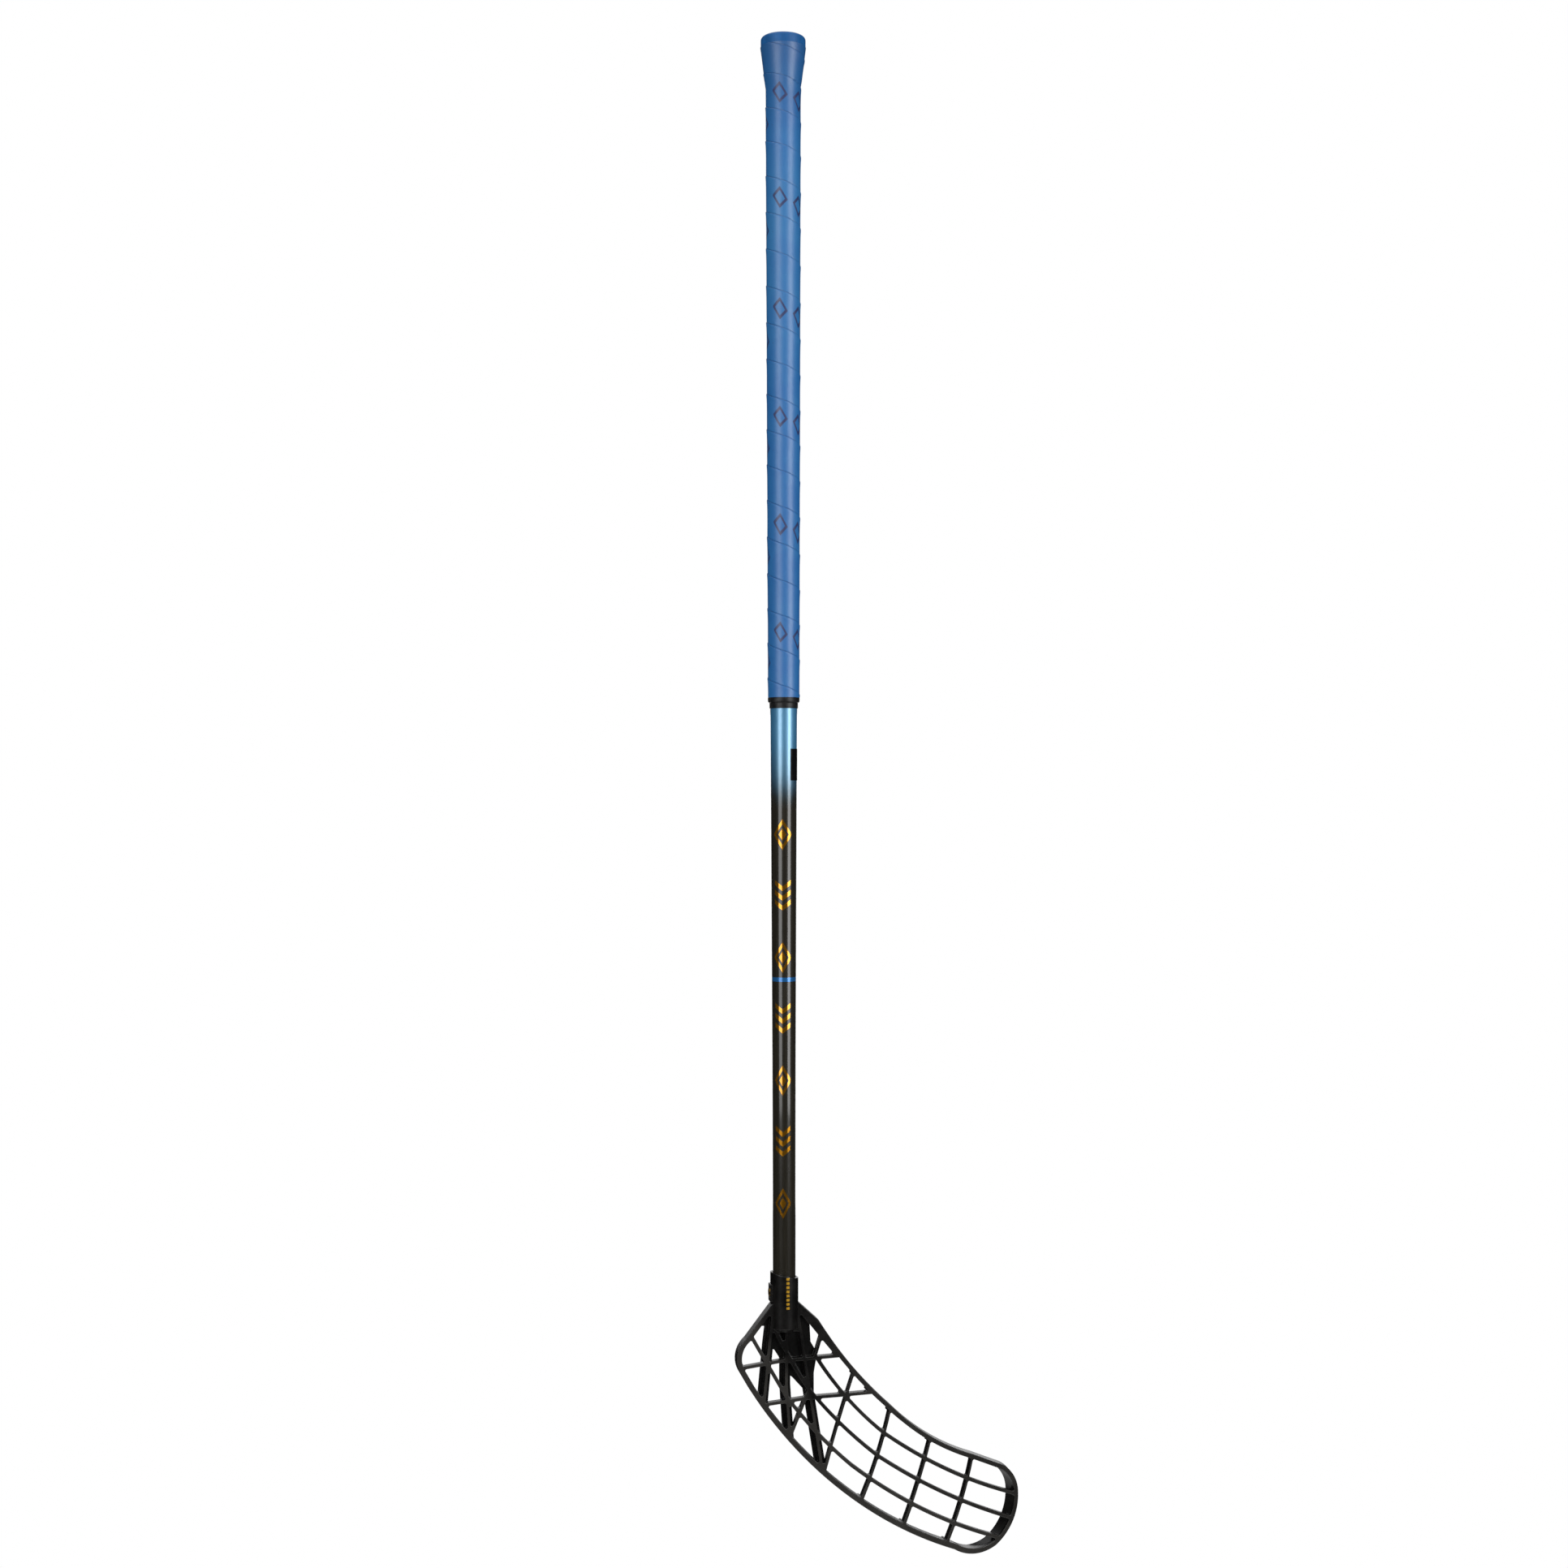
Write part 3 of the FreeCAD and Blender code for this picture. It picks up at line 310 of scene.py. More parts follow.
def cap_plastic(grip):
    """Moulded polypropylene, spark-eroded matt: the tape's blue, darker in painted shade, with a finer,
    harder surface.
    """
    material, tree = empty_material("moulded_polypropylene_cap")
    place = node(tree, "ShaderNodeTexCoord").outputs["Object"]
    cloud = node(tree, "ShaderNodeTexNoise", {"Vector": place, "Scale": 1 / (9 * MM), "Detail": 3.0})
    # Clouds about 9 mm across mix the tape's blue with its painted-shade blue, darkening the whole cap as
    # painted shade.
    share = node(tree, "ShaderNodeMapRange", {
        "Value": cloud.outputs["Fac"], "From Min": 0.35, "From Max": 0.75, "To Min": 0.4, "To Max": 0.85})
    body = node(tree, "ShaderNodeMix", {
        "Factor": share, "A": opaque(grip.tape_painted_shade), "B": opaque(grip.tape)}, data_type="RGBA")
    # The mould's grit is about 0.1 mm. It is drawn at 0.8 mm so that it shows.
    grit = node(tree, "ShaderNodeTexNoise", {"Vector": place, "Scale": 1 / (0.8 * MM), "Detail": 2.0})
    bumped = node(tree, "ShaderNodeBump", {
        "Height": grit.outputs["Fac"], "Strength": 0.2, "Distance": 0.1 * MM})
    gloss = node(tree, "ShaderNodeMapRange", {"Value": cloud.outputs["Fac"], "To Min": 0.42, "To Max": 0.5})
    shader = node(tree, "ShaderNodeBsdfPrincipled", {
        "Base Color": body, "Roughness": gloss, "Normal": bumped, "IOR": 1.49})
    node(tree, "ShaderNodeOutputMaterial", {"Surface": shader})
    return material


def collar_rubber(grip):
    """Moulded synthetic rubber: near black with a soft grey sheen and dusty patches."""
    material, tree = empty_material("moulded_rubber_collar")
    place = node(tree, "ShaderNodeTexCoord").outputs["Object"]
    dust = node(tree, "ShaderNodeTexNoise", {"Vector": place, "Scale": 1 / (5 * MM), "Detail": 4.0})
    share = node(tree, "ShaderNodeMapRange", {
        "Value": dust.outputs["Fac"], "From Min": 0.45, "From Max": 0.8, "To Max": 0.12})
    body = node(tree, "ShaderNodeMix", {
        "Factor": share, "A": opaque(grip.rubber), "B": opaque(grip.rubber_dust)}, data_type="RGBA")
    # The skin's grain is about 0.1 mm. It is drawn at 0.7 mm so that it shows.
    grain = node(tree, "ShaderNodeTexNoise", {"Vector": place, "Scale": 1 / (0.7 * MM), "Detail": 2.0})
    bumped = node(tree, "ShaderNodeBump", {
        "Height": grain.outputs["Fac"], "Strength": 0.15, "Distance": 0.1 * MM})
    gloss = node(tree, "ShaderNodeMapRange", {"Value": dust.outputs["Fac"], "To Min": 0.32, "To Max": 0.5})
    shader = node(tree, "ShaderNodeBsdfPrincipled", {
        "Base Color": body, "Roughness": gloss, "Normal": bumped, "IOR": 1.52})
    node(tree, "ShaderNodeOutputMaterial", {"Surface": shader})
    return material


def shaft_lacquer(shaft):
    """Carbon tube under metallic blue and black lacquer: a hard clear coat with sharp upright highlights."""
    material, tree = empty_material("clear_coated_carbon_lacquer")
    place = node(tree, "ShaderNodeTexCoord").outputs["Object"]
    axes = node(tree, "ShaderNodeSeparateXYZ", {0: place})
    depth = node(tree, "ShaderNodeMath", {0: axes.outputs["Z"], 1: -1.0}, operation="MULTIPLY")
    angle = node(tree, "ShaderNodeMath", {0: axes.outputs["Y"], 1: axes.outputs["X"]}, operation="ARCTAN2")
    fade = node(tree, "ShaderNodeMapRange", {
        "Value": depth, "From Min": shaft.fade_start, "From Max": shaft.fade_end},
        interpolation_type="SMOOTHSTEP")
    # The carbon's fibres lie along the tube and show faintly, as streaks about 1.5 mm wide and 40 mm long.
    streaks = (1 / (1.5 * MM), 1 / (1.5 * MM), 1 / (40 * MM))
    laid = node(tree, "ShaderNodeVectorMath", {0: place, 1: streaks}, operation="MULTIPLY")
    fibres = node(tree, "ShaderNodeTexNoise", {"Vector": laid, "Scale": 1.0, "Detail": 2.0})
    fibre_share = node(tree, "ShaderNodeMapRange", {
        "Value": fibres.outputs["Fac"], "From Min": 0.45, "From Max": 0.8, "To Max": 0.5})
    black = node(tree, "ShaderNodeMix", {
        "Factor": fibre_share, "A": opaque(shaft.black), "B": opaque(shaft.fibre)}, data_type="RGBA")
    body = node(tree, "ShaderNodeMix", {
        "Factor": fade, "A": opaque(shaft.blue), "B": black}, data_type="RGBA")
    stripe = node(tree, "ShaderNodeMath", {
        0: depth, 1: shaft.stripe_depth, 2: shaft.stripe_width / 2}, operation="COMPARE")
    striped = node(tree, "ShaderNodeMix", {
        "Factor": stripe, "A": body, "B": opaque(shaft.stripe)}, data_type="RGBA")
    # Seven gold motifs face the front: outlined lozenges 14 mm wide and 24 mm high with a solid core, and
    # between them stacks of three chevrons.
    half_wide = 7.0 * MM
    half_high = 12.0 * MM
    line_place = 0.84
    line_half = 0.16
    core_share = 0.4
    chevron_slope = 0.8
    chevron_step = 7.5 * MM
    chevron_share = 0.5
    chevron_half = 6.2 * MM
    stack_half = 11.25 * MM
    middle_motif = 3.0
    run_half = 3.1
    turned = node(tree, "ShaderNodeMath", {0: angle, 1: shaft.motif_turn}, operation="SUBTRACT")
    side = node(tree, "ShaderNodeMath", {0: turned}, operation="ABSOLUTE")
    aside = node(tree, "ShaderNodeMath", {0: side, 1: shaft.low}, operation="MULTIPLY")
    below = node(tree, "ShaderNodeMath", {0: depth, 1: shaft.motif_depth}, operation="SUBTRACT")
    steps = node(tree, "ShaderNodeMath", {0: below, 1: shaft.motif_step}, operation="DIVIDE")
    centred = node(tree, "ShaderNodeMath", {0: steps, 1: MIDDLE}, operation="ADD")
    index = node(tree, "ShaderNodeMath", {0: centred}, operation="FLOOR")
    inside = node(tree, "ShaderNodeMath", {0: centred}, operation="FRACT")
    off_centre = node(tree, "ShaderNodeMath", {0: inside, 1: MIDDLE}, operation="SUBTRACT")
    lift = node(tree, "ShaderNodeMath", {0: off_centre, 1: shaft.motif_step}, operation="MULTIPLY")
    up = node(tree, "ShaderNodeMath", {0: lift}, operation="ABSOLUTE")
    wide = node(tree, "ShaderNodeMath", {0: aside, 1: half_wide}, operation="DIVIDE")
    high = node(tree, "ShaderNodeMath", {0: up, 1: half_high}, operation="DIVIDE")
    lozenge = node(tree, "ShaderNodeMath", {0: wide, 1: high}, operation="ADD")
    outline = node(tree, "ShaderNodeMath", {0: lozenge, 1: line_place, 2: line_half}, operation="COMPARE")
    core = node(tree, "ShaderNodeMath", {0: lozenge, 1: core_share}, operation="LESS_THAN")
    outlined = node(tree, "ShaderNodeMath", {0: outline, 1: core}, operation="MAXIMUM")
    slope = node(tree, "ShaderNodeMath", {0: aside, 1: chevron_slope, 2: lift}, operation="MULTIPLY_ADD")
    rows = node(tree, "ShaderNodeMath", {0: slope, 1: chevron_step}, operation="DIVIDE")
    row = node(tree, "ShaderNodeMath", {0: rows}, operation="FRACT")
    bar = node(tree, "ShaderNodeMath", {0: row, 1: chevron_share}, operation="LESS_THAN")
    from_slope = node(tree, "ShaderNodeMath", {0: slope}, operation="ABSOLUTE")
    kept = node(tree, "ShaderNodeMath", {0: from_slope, 1: stack_half}, operation="LESS_THAN")
    narrow = node(tree, "ShaderNodeMath", {0: aside, 1: chevron_half}, operation="LESS_THAN")
    bounded = node(tree, "ShaderNodeMath", {0: kept, 1: narrow}, operation="MULTIPLY")
    chevrons = node(tree, "ShaderNodeMath", {0: bar, 1: bounded}, operation="MULTIPLY")
    odd = node(tree, "ShaderNodeMath", {0: index, 1: 2.0}, operation="FLOORED_MODULO")
    motif = node(tree, "ShaderNodeMix", {"Factor": odd, "A": outlined, "B": chevrons}, data_type="FLOAT")
    in_run = node(tree, "ShaderNodeMath", {0: index, 1: middle_motif, 2: run_half}, operation="COMPARE")
    gilt = node(tree, "ShaderNodeMath", {0: motif, 1: in_run}, operation="MULTIPLY")
    gilded = node(tree, "ShaderNodeMix", {
        "Factor": gilt, "A": striped, "B": opaque(shaft.gold)}, data_type="RGBA")
    # Foil and stripe are metallic: bright in the lamps' images and deep between them.
    foil_share = 0.9
    stripe_share = 0.6
    foil_metal = node(tree, "ShaderNodeMath", {0: gilt, 1: foil_share}, operation="MULTIPLY")
    stripe_metal = node(tree, "ShaderNodeMath", {0: stripe, 1: stripe_share}, operation="MULTIPLY")
    metal = node(tree, "ShaderNodeMath", {0: foil_metal, 1: stripe_metal}, operation="MAXIMUM")
    # Hands and play leave the coat a little hazy in patches about 30 mm long.
    haze = node(tree, "ShaderNodeTexNoise", {"Vector": place, "Scale": 1 / (30 * MM), "Detail": 5.0})
    gloss = node(tree, "ShaderNodeMapRange", {"Value": haze.outputs["Fac"], "To Min": 0.2, "To Max": 0.32})
    # The foil is smoother than the lacquer round it.
    smoother = -0.1
    foil_gloss = node(tree, "ShaderNodeMath", {0: gilt, 1: smoother, 2: gloss}, operation="MULTIPLY_ADD")
    # The wound layers leave the coat faintly wavy, about 12 mm from crest to crest.
    waves = node(tree, "ShaderNodeTexNoise", {"Vector": place, "Scale": 1 / (12 * MM), "Detail": 1.0})
    bumped = node(tree, "ShaderNodeBump", {
        "Height": waves.outputs["Fac"], "Strength": 0.006, "Distance": 0.1 * MM})
    pigment = node(tree, "ShaderNodeBsdfPrincipled", {
        "Base Color": gilded, "Metallic": metal, "Roughness": foil_gloss, "Normal": bumped,
        "Coat Weight": 1.0, "Coat Roughness": 0.06, "Coat IOR": 1.55})
    # Flakes in the blue are about 0.1 mm. They are drawn at 0.8 mm so that they show, and thin out a little
    # further down than the blue.
    flakes = node(tree, "ShaderNodeTexVoronoi", {"Vector": place, "Scale": 1 / (0.8 * MM)}, feature="F1")
    glint = node(tree, "ShaderNodeSeparateColor", {0: flakes.outputs["Color"]})
    tilt = node(tree, "ShaderNodeMapRange", {"Value": glint, "To Min": 0.36, "To Max": 0.46})
    flaked = node(tree, "ShaderNodeBsdfPrincipled", {
        "Base Color": opaque(shaft.flake), "Metallic": 1.0, "Roughness": tilt, "Normal": bumped,
        "Coat Weight": 1.0, "Coat Roughness": 0.06, "Coat IOR": 1.55})
    flake_share = node(tree, "ShaderNodeMapRange", {
        "Value": depth, "From Min": shaft.fade_start + 20 * MM, "From Max": shaft.fade_end + 8 * MM,
        "To Min": 0.6, "To Max": 0.0}, interpolation_type="SMOOTHSTEP")
    shader = node(tree, "ShaderNodeMixShader", {0: flake_share, 1: pigment, 2: flaked})
    node(tree, "ShaderNodeOutputMaterial", {"Surface": shader})
    return material


def label_film(shaft):
    """Polyester label film, printed black and laminated: glossy, with a few fine rubs."""
    material, tree = empty_material("laminated_polyester_label")
    place = node(tree, "ShaderNodeTexCoord").outputs["Object"]
    # Rubs run along the shaft, about 1 mm wide and 12 mm long.
    streaks = (1 / (1.0 * MM), 1 / (1.0 * MM), 1 / (12 * MM))
    drawn = node(tree, "ShaderNodeVectorMath", {0: place, 1: streaks}, operation="MULTIPLY")
    rubs = node(tree, "ShaderNodeTexNoise", {"Vector": drawn, "Scale": 1.0, "Detail": 3.0})
    share = node(tree, "ShaderNodeMapRange", {
        "Value": rubs.outputs["Fac"], "From Min": 0.55, "From Max": 0.85, "To Max": 0.2})
    body = node(tree, "ShaderNodeMix", {
        "Factor": share, "A": opaque(shaft.label), "B": opaque(shaft.label_rub)}, data_type="RGBA")
    gloss = node(tree, "ShaderNodeMapRange", {"Value": rubs.outputs["Fac"], "To Min": 0.12, "To Max": 0.3})
    shader = node(tree, "ShaderNodeBsdfPrincipled", {"Base Color": body, "Roughness": gloss, "IOR": 1.57})
    node(tree, "ShaderNodeOutputMaterial", {"Surface": shader})
    return material


def blade_plastic(blade):
    """Moulded polyethylene, black: satin, with soft pale lines along rounded edges, light scuffs and painted
    light.
    """
    material, tree = empty_material("moulded_polyethylene_blade")
    place = node(tree, "ShaderNodeTexCoord").outputs["Object"]
    axes = node(tree, "ShaderNodeSeparateXYZ", {0: place})
    cloud = node(tree, "ShaderNodeTexNoise", {
        "Vector": place, "Scale": 1 / (14 * MM), "Detail": 6.0, "Roughness": 0.65})
    share = node(tree, "ShaderNodeMapRange", {
        "Value": cloud.outputs["Fac"], "From Min": 0.42, "From Max": 0.75, "To Max": 0.22})
    # Painted light: a strip about 32 mm wide along the lower edge, an arc of 345 mm radius, is laid paler.
    arc_centre = (264 * MM, 0.0, -863 * MM)
    flat = node(tree, "ShaderNodeCombineXYZ", {"X": axes.outputs["X"], "Z": axes.outputs["Z"]})
    reach = node(tree, "ShaderNodeVectorMath", {
        0: flat, 1: arc_centre}, operation="DISTANCE").outputs["Value"]
    low = node(tree, "ShaderNodeMapRange", {
        "Value": reach, "From Min": 308 * MM, "From Max": 318 * MM, "To Max": 0.55},
        interpolation_type="SMOOTHSTEP")
    # The strip is on the front alone: the bars behind the ribs, up to 45 mm from the shaft, are left out.
    rib_rear = -1.0 * MM
    bar_end = 45 * MM
    ahead = node(tree, "ShaderNodeMath", {0: axes.outputs["Y"], 1: rib_rear}, operation="LESS_THAN")
    beyond = node(tree, "ShaderNodeMath", {0: axes.outputs["X"], 1: bar_end}, operation="GREATER_THAN")
    reached = node(tree, "ShaderNodeMath", {0: ahead, 1: beyond}, operation="MAXIMUM")
    strip = node(tree, "ShaderNodeMath", {0: low, 1: reached}, operation="MULTIPLY")
    # The open part of the blade, from 60 mm beyond the shaft, gets a little painted light all over.
    lightly = node(tree, "ShaderNodeMapRange", {
        "Value": axes.outputs["X"], "From Min": 20 * MM, "From Max": 60 * MM, "To Max": 0.35})
    rubbed = node(tree, "ShaderNodeMath", {0: strip, 1: lightly}, operation="MAXIMUM")
    # Only faces that look forward get the painted light: the walls between front and rear stay black.
    forward = (0.0, -1.0, 0.0)
    normal = node(tree, "ShaderNodeNewGeometry").outputs["Normal"]
    facing = node(tree, "ShaderNodeVectorMath", {0: normal, 1: forward}, operation="DOT_PRODUCT")
    open_face = node(tree, "ShaderNodeMapRange", {
        "Value": facing.outputs["Value"], "From Min": 0.45, "From Max": 0.75})
    painted_light_share = node(tree, "ShaderNodeMath", {0: rubbed, 1: open_face}, operation="MULTIPLY")
    tone_and_painted_light = node(tree, "ShaderNodeMath", {0: share, 1: painted_light_share}, operation="ADD")
    body = node(tree, "ShaderNodeMix", {
        "Factor": tone_and_painted_light, "A": opaque(blade.black), "B": opaque(blade.scuffed_and_lit)}, data_type="RGBA")
    # A row of eight gold dashes, 2.4 mm wide and 2 mm high every 3.2 mm, runs down the front of the socket.
    dash_place = 0.9 * MM
    dash_half = 1.2 * MM
    dash_step = 3.2 * MM
    dash_share = 0.62
    run_half = 12.8 * MM
    run_middle = BLADE_HIGH.z - 16 * MM
    socket_front = -5 * MM
    aside = node(tree, "ShaderNodeMath", {
        0: axes.outputs["X"], 1: dash_place, 2: dash_half}, operation="COMPARE")
    front = node(tree, "ShaderNodeMath", {0: axes.outputs["Y"], 1: socket_front}, operation="LESS_THAN")
    below = node(tree, "ShaderNodeMath", {0: run_middle, 1: axes.outputs["Z"]}, operation="SUBTRACT")
    span = node(tree, "ShaderNodeMath", {0: below, 1: 0.0, 2: run_half}, operation="COMPARE")
    rows = node(tree, "ShaderNodeMath", {0: below, 1: dash_step}, operation="DIVIDE")
    row = node(tree, "ShaderNodeMath", {0: rows}, operation="FRACT")
    dash = node(tree, "ShaderNodeMath", {0: row, 1: dash_share}, operation="LESS_THAN")
    placed = node(tree, "ShaderNodeMath", {0: aside, 1: front}, operation="MULTIPLY")
    spanned = node(tree, "ShaderNodeMath", {0: span, 1: dash}, operation="MULTIPLY")
    gilt = node(tree, "ShaderNodeMath", {0: placed, 1: spanned}, operation="MULTIPLY")
    gilded = node(tree, "ShaderNodeMix", {
        "Factor": gilt, "A": body, "B": opaque(blade.gold)}, data_type="RGBA")
    foil_share = 0.5
    metal = node(tree, "ShaderNodeMath", {0: gilt, 1: foil_share}, operation="MULTIPLY")
    # The mould's grit is about 0.1 mm. It is drawn at 0.9 mm so that it shows.
    grit = node(tree, "ShaderNodeTexNoise", {"Vector": place, "Scale": 1 / (0.9 * MM), "Detail": 2.0})
    rounded = node(tree, "ShaderNodeBevel", {"Radius": blade.edge}, samples=8)
    bumped = node(tree, "ShaderNodeBump", {
        "Height": grit.outputs["Fac"], "Strength": 0.2, "Distance": 0.08 * MM, "Normal": rounded})
    gloss = node(tree, "ShaderNodeMapRange", {"Value": cloud.outputs["Fac"], "To Min": 0.25, "To Max": 0.36})
    shader = node(tree, "ShaderNodeBsdfPrincipled", {
        "Base Color": gilded, "Metallic": metal, "Roughness": gloss, "Normal": bumped, "IOR": 1.51})
    node(tree, "ShaderNodeOutputMaterial", {"Surface": shader})
    return material


def screw_brass(blade):
    """Turned brass: bright and warm, with rings from the lathe and a dull film in places."""
    material, tree = empty_material("turned_brass_screw")
    place = node(tree, "ShaderNodeTexCoord").outputs["Object"]
    # Lathe rings are about 0.1 mm apart. They are drawn at 0.6 mm so that they show. At a scale of 1, 20
    # radians of the wave lie in each metre.
    wave_rate = 20
    ring_step = 0.6 * MM
    rings = node(tree, "ShaderNodeTexWave", {
        "Vector": place, "Scale": TURN / wave_rate / ring_step, "Distortion": 0.4}, bands_direction="X")
    film = node(tree, "ShaderNodeTexNoise", {"Vector": place, "Scale": 1 / (1.5 * MM), "Detail": 3.0})
    share = node(tree, "ShaderNodeMapRange", {
        "Value": film.outputs["Fac"], "From Min": 0.45, "From Max": 0.8, "To Max": 0.5})
    body = node(tree, "ShaderNodeMix", {
        "Factor": share, "A": opaque(blade.brass), "B": opaque(blade.brass_film)}, data_type="RGBA")
    bumped = node(tree, "ShaderNodeBump", {
        "Height": rings.outputs["Fac"], "Strength": 0.1, "Distance": 0.05 * MM})
    gloss = node(tree, "ShaderNodeMapRange", {"Value": film.outputs["Fac"], "To Min": 0.2, "To Max": 0.4})
    shader = node(tree, "ShaderNodeBsdfPrincipled", {
        "Base Color": body, "Metallic": 1.0, "Roughness": gloss, "Normal": bumped})
    node(tree, "ShaderNodeOutputMaterial", {"Surface": shader})
    return material


def hot_melt(blade):
    """Hot-melt glue: a waxy, slightly clouded cream film between tube and socket."""
    material, tree = empty_material("hot_melt_glue")
    place = node(tree, "ShaderNodeTexCoord").outputs["Object"]
    cloud = node(tree, "ShaderNodeTexNoise", {"Vector": place, "Scale": 1 / (4 * MM), "Detail": 3.0})
    share = node(tree, "ShaderNodeMapRange", {
        "Value": cloud.outputs["Fac"], "From Min": 0.4, "From Max": 0.8, "To Max": 0.6})
    body = node(tree, "ShaderNodeMix", {
        "Factor": share, "A": opaque(blade.glue), "B": opaque(blade.glue_cloud)}, data_type="RGBA")
    gloss = node(tree, "ShaderNodeMapRange", {"Value": cloud.outputs["Fac"], "To Min": 0.35, "To Max": 0.55})
    bumped = node(tree, "ShaderNodeBump", {
        "Height": cloud.outputs["Fac"], "Strength": 0.2, "Distance": 0.2 * MM})
    shader = node(tree, "ShaderNodeBsdfPrincipled", {
        "Base Color": body, "Roughness": gloss, "Normal": bumped, "IOR": 1.48})
    node(tree, "ShaderNodeOutputMaterial", {"Surface": shader})
    return material


def shown_rays(tree):
    """1 for the rays that see the white behind the stick: from the camera, mirrored or through glass."""
    rays = node(tree, "ShaderNodeLightPath")
    seen = node(tree, "ShaderNodeMath", {
        0: rays.outputs["Is Camera Ray"], 1: rays.outputs["Is Glossy Ray"]}, operation="MAXIMUM")
    return node(tree, "ShaderNodeMath", {
        0: seen, 1: rays.outputs["Is Transmission Ray"]}, operation="MAXIMUM")


def studio_floor(studio):
    """Painted floor, matt and pale: it holds the shadow near the stick and runs into the white behind."""
    material, tree = empty_material("matt_painted_floor")
    place = node(tree, "ShaderNodeTexCoord").outputs["Object"]
    axes = node(tree, "ShaderNodeSeparateXYZ", {0: place})
    flat = node(tree, "ShaderNodeCombineXYZ", {"X": axes.outputs["X"], "Y": axes.outputs["Y"]})
    reach = node(tree, "ShaderNodeVectorMath", {0: flat}, operation="LENGTH").outputs["Value"]
    far = node(tree, "ShaderNodeMapRange", {
        "Value": reach, "From Min": 0.25, "From Max": 0.7}, interpolation_type="SMOOTHSTEP")
    white_share = node(tree, "ShaderNodeMath", {0: far, 1: shown_rays(tree)}, operation="MULTIPLY")
    matt = node(tree, "ShaderNodeBsdfDiffuse", {"Color": opaque(studio.floor)})
    white = node(tree, "ShaderNodeEmission", {"Strength": 1.0})
    surface = node(tree, "ShaderNodeMixShader", {0: white_share, 1: matt, 2: white})
    node(tree, "ShaderNodeOutputMaterial", {"Surface": surface})
    return material


def dark_cloth(studio):
    """Black cloth hung round the studio: only reflections show it, as the dark sides of the gloss."""
    material, tree = empty_material("black_studio_cloth")
    cloth = node(tree, "ShaderNodeEmission", {"Color": opaque(studio.cloth), "Strength": 1.0})
    node(tree, "ShaderNodeOutputMaterial", {"Surface": cloth})
    return material


def stand_for(name, bm, material, solid):
    """Make a smooth object of a finished mesh, riding with the stick in place of one solid."""
    bmesh.ops.remove_doubles(bm, verts=bm.verts, dist=MERGE)
    bmesh.ops.recalc_face_normals(bm, faces=bm.faces)
    mesh = bpy.data.meshes.new(name)
    bm.to_mesh(mesh)
    bm.free()
    mesh.shade_smooth()
    mesh.set_sharp_from_angle(angle=CREASE)
    mesh.materials.append(material)
    piece = bpy.data.objects.new(name, mesh)
    bpy.context.scene.collection.objects.link(piece)
    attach(piece, "root")
    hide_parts(solid)


def dress(solid, material):
    """Give a solid that stays in view its finish."""
    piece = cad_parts[solid]
    piece.data.materials.clear()
    piece.data.materials.append(material)


def lathe(outline):
    """A closed ring turned about the stick's axis from an outline of radius and height."""
    bm = bmesh.new()
    corners = [bm.verts.new((radius, 0.0, height)) for radius, height in outline]
    edges = [bm.edges.new((corners[i - 1], corners[i])) for i in range(len(corners))]
    bmesh.ops.spin(
        bm, geom=corners + edges, cent=(0, 0, 0), axis=(0, 0, 1), angle=TURN, steps=AROUND, use_merge=True)
    return bm


def seat_radius(grip, shaft, depth):
    """Radius under the tape: the cap's flared skirt first, then the tapering tube."""
    skirt_start = -TAPE_HIGH.z
    skirt_end = -CAP_LOW.z
    if depth < skirt_end:
        share = max(0.0, (depth - skirt_start) / (skirt_end - skirt_start))
        return grip.cap_flare + (grip.cap_skirt - grip.cap_flare) * share
    share = (depth + TUBE_HIGH.z) / (TUBE_HIGH.z - RING_LOW.z)
    return TUBE_HIGH.x + (shaft.waist - TUBE_HIGH.x) * share


def drift(depth):
    """How far a turn wound by hand lies below its even place. The turns are closest just below the cap."""
    for (above, start), (below, end) in zip(WINDING_DRIFT, WINDING_DRIFT[1:]):
        if depth <= below * MM:
            share = max(0.0, (depth / MM - above) / (below - above))
            return (start + (end - start) * share) * MM
    return 0.0


class FLOORBALL_OT_shaft(bpy.types.Operator):
    """Turn the tapered tube with its clear-coated lacquer"""
    bl_idname = "floorball.shaft"
    bl_label = "Lacquered Shaft"

    def execute(self, context):
        shaft = context.scene.floorball_shaft
        stations = [
            (TUBE_HIGH.x, TUBE_HIGH.z),
            (shaft.waist, RING_LOW.z),
            (shaft.low, RING_LOW.z - shaft.taper),
            (shaft.socket, BLADE_HIGH.z),
            (shaft.socket, TUBE_LOW.z),
        ]
        bore = [(radius - shaft.wall, height) for radius, height in reversed(stations)]
        bm = lathe(stations + bore)
        stand_for("lacquered_tube", bm, shaft_lacquer(shaft), "shaft_tube")
        return {"FINISHED"}


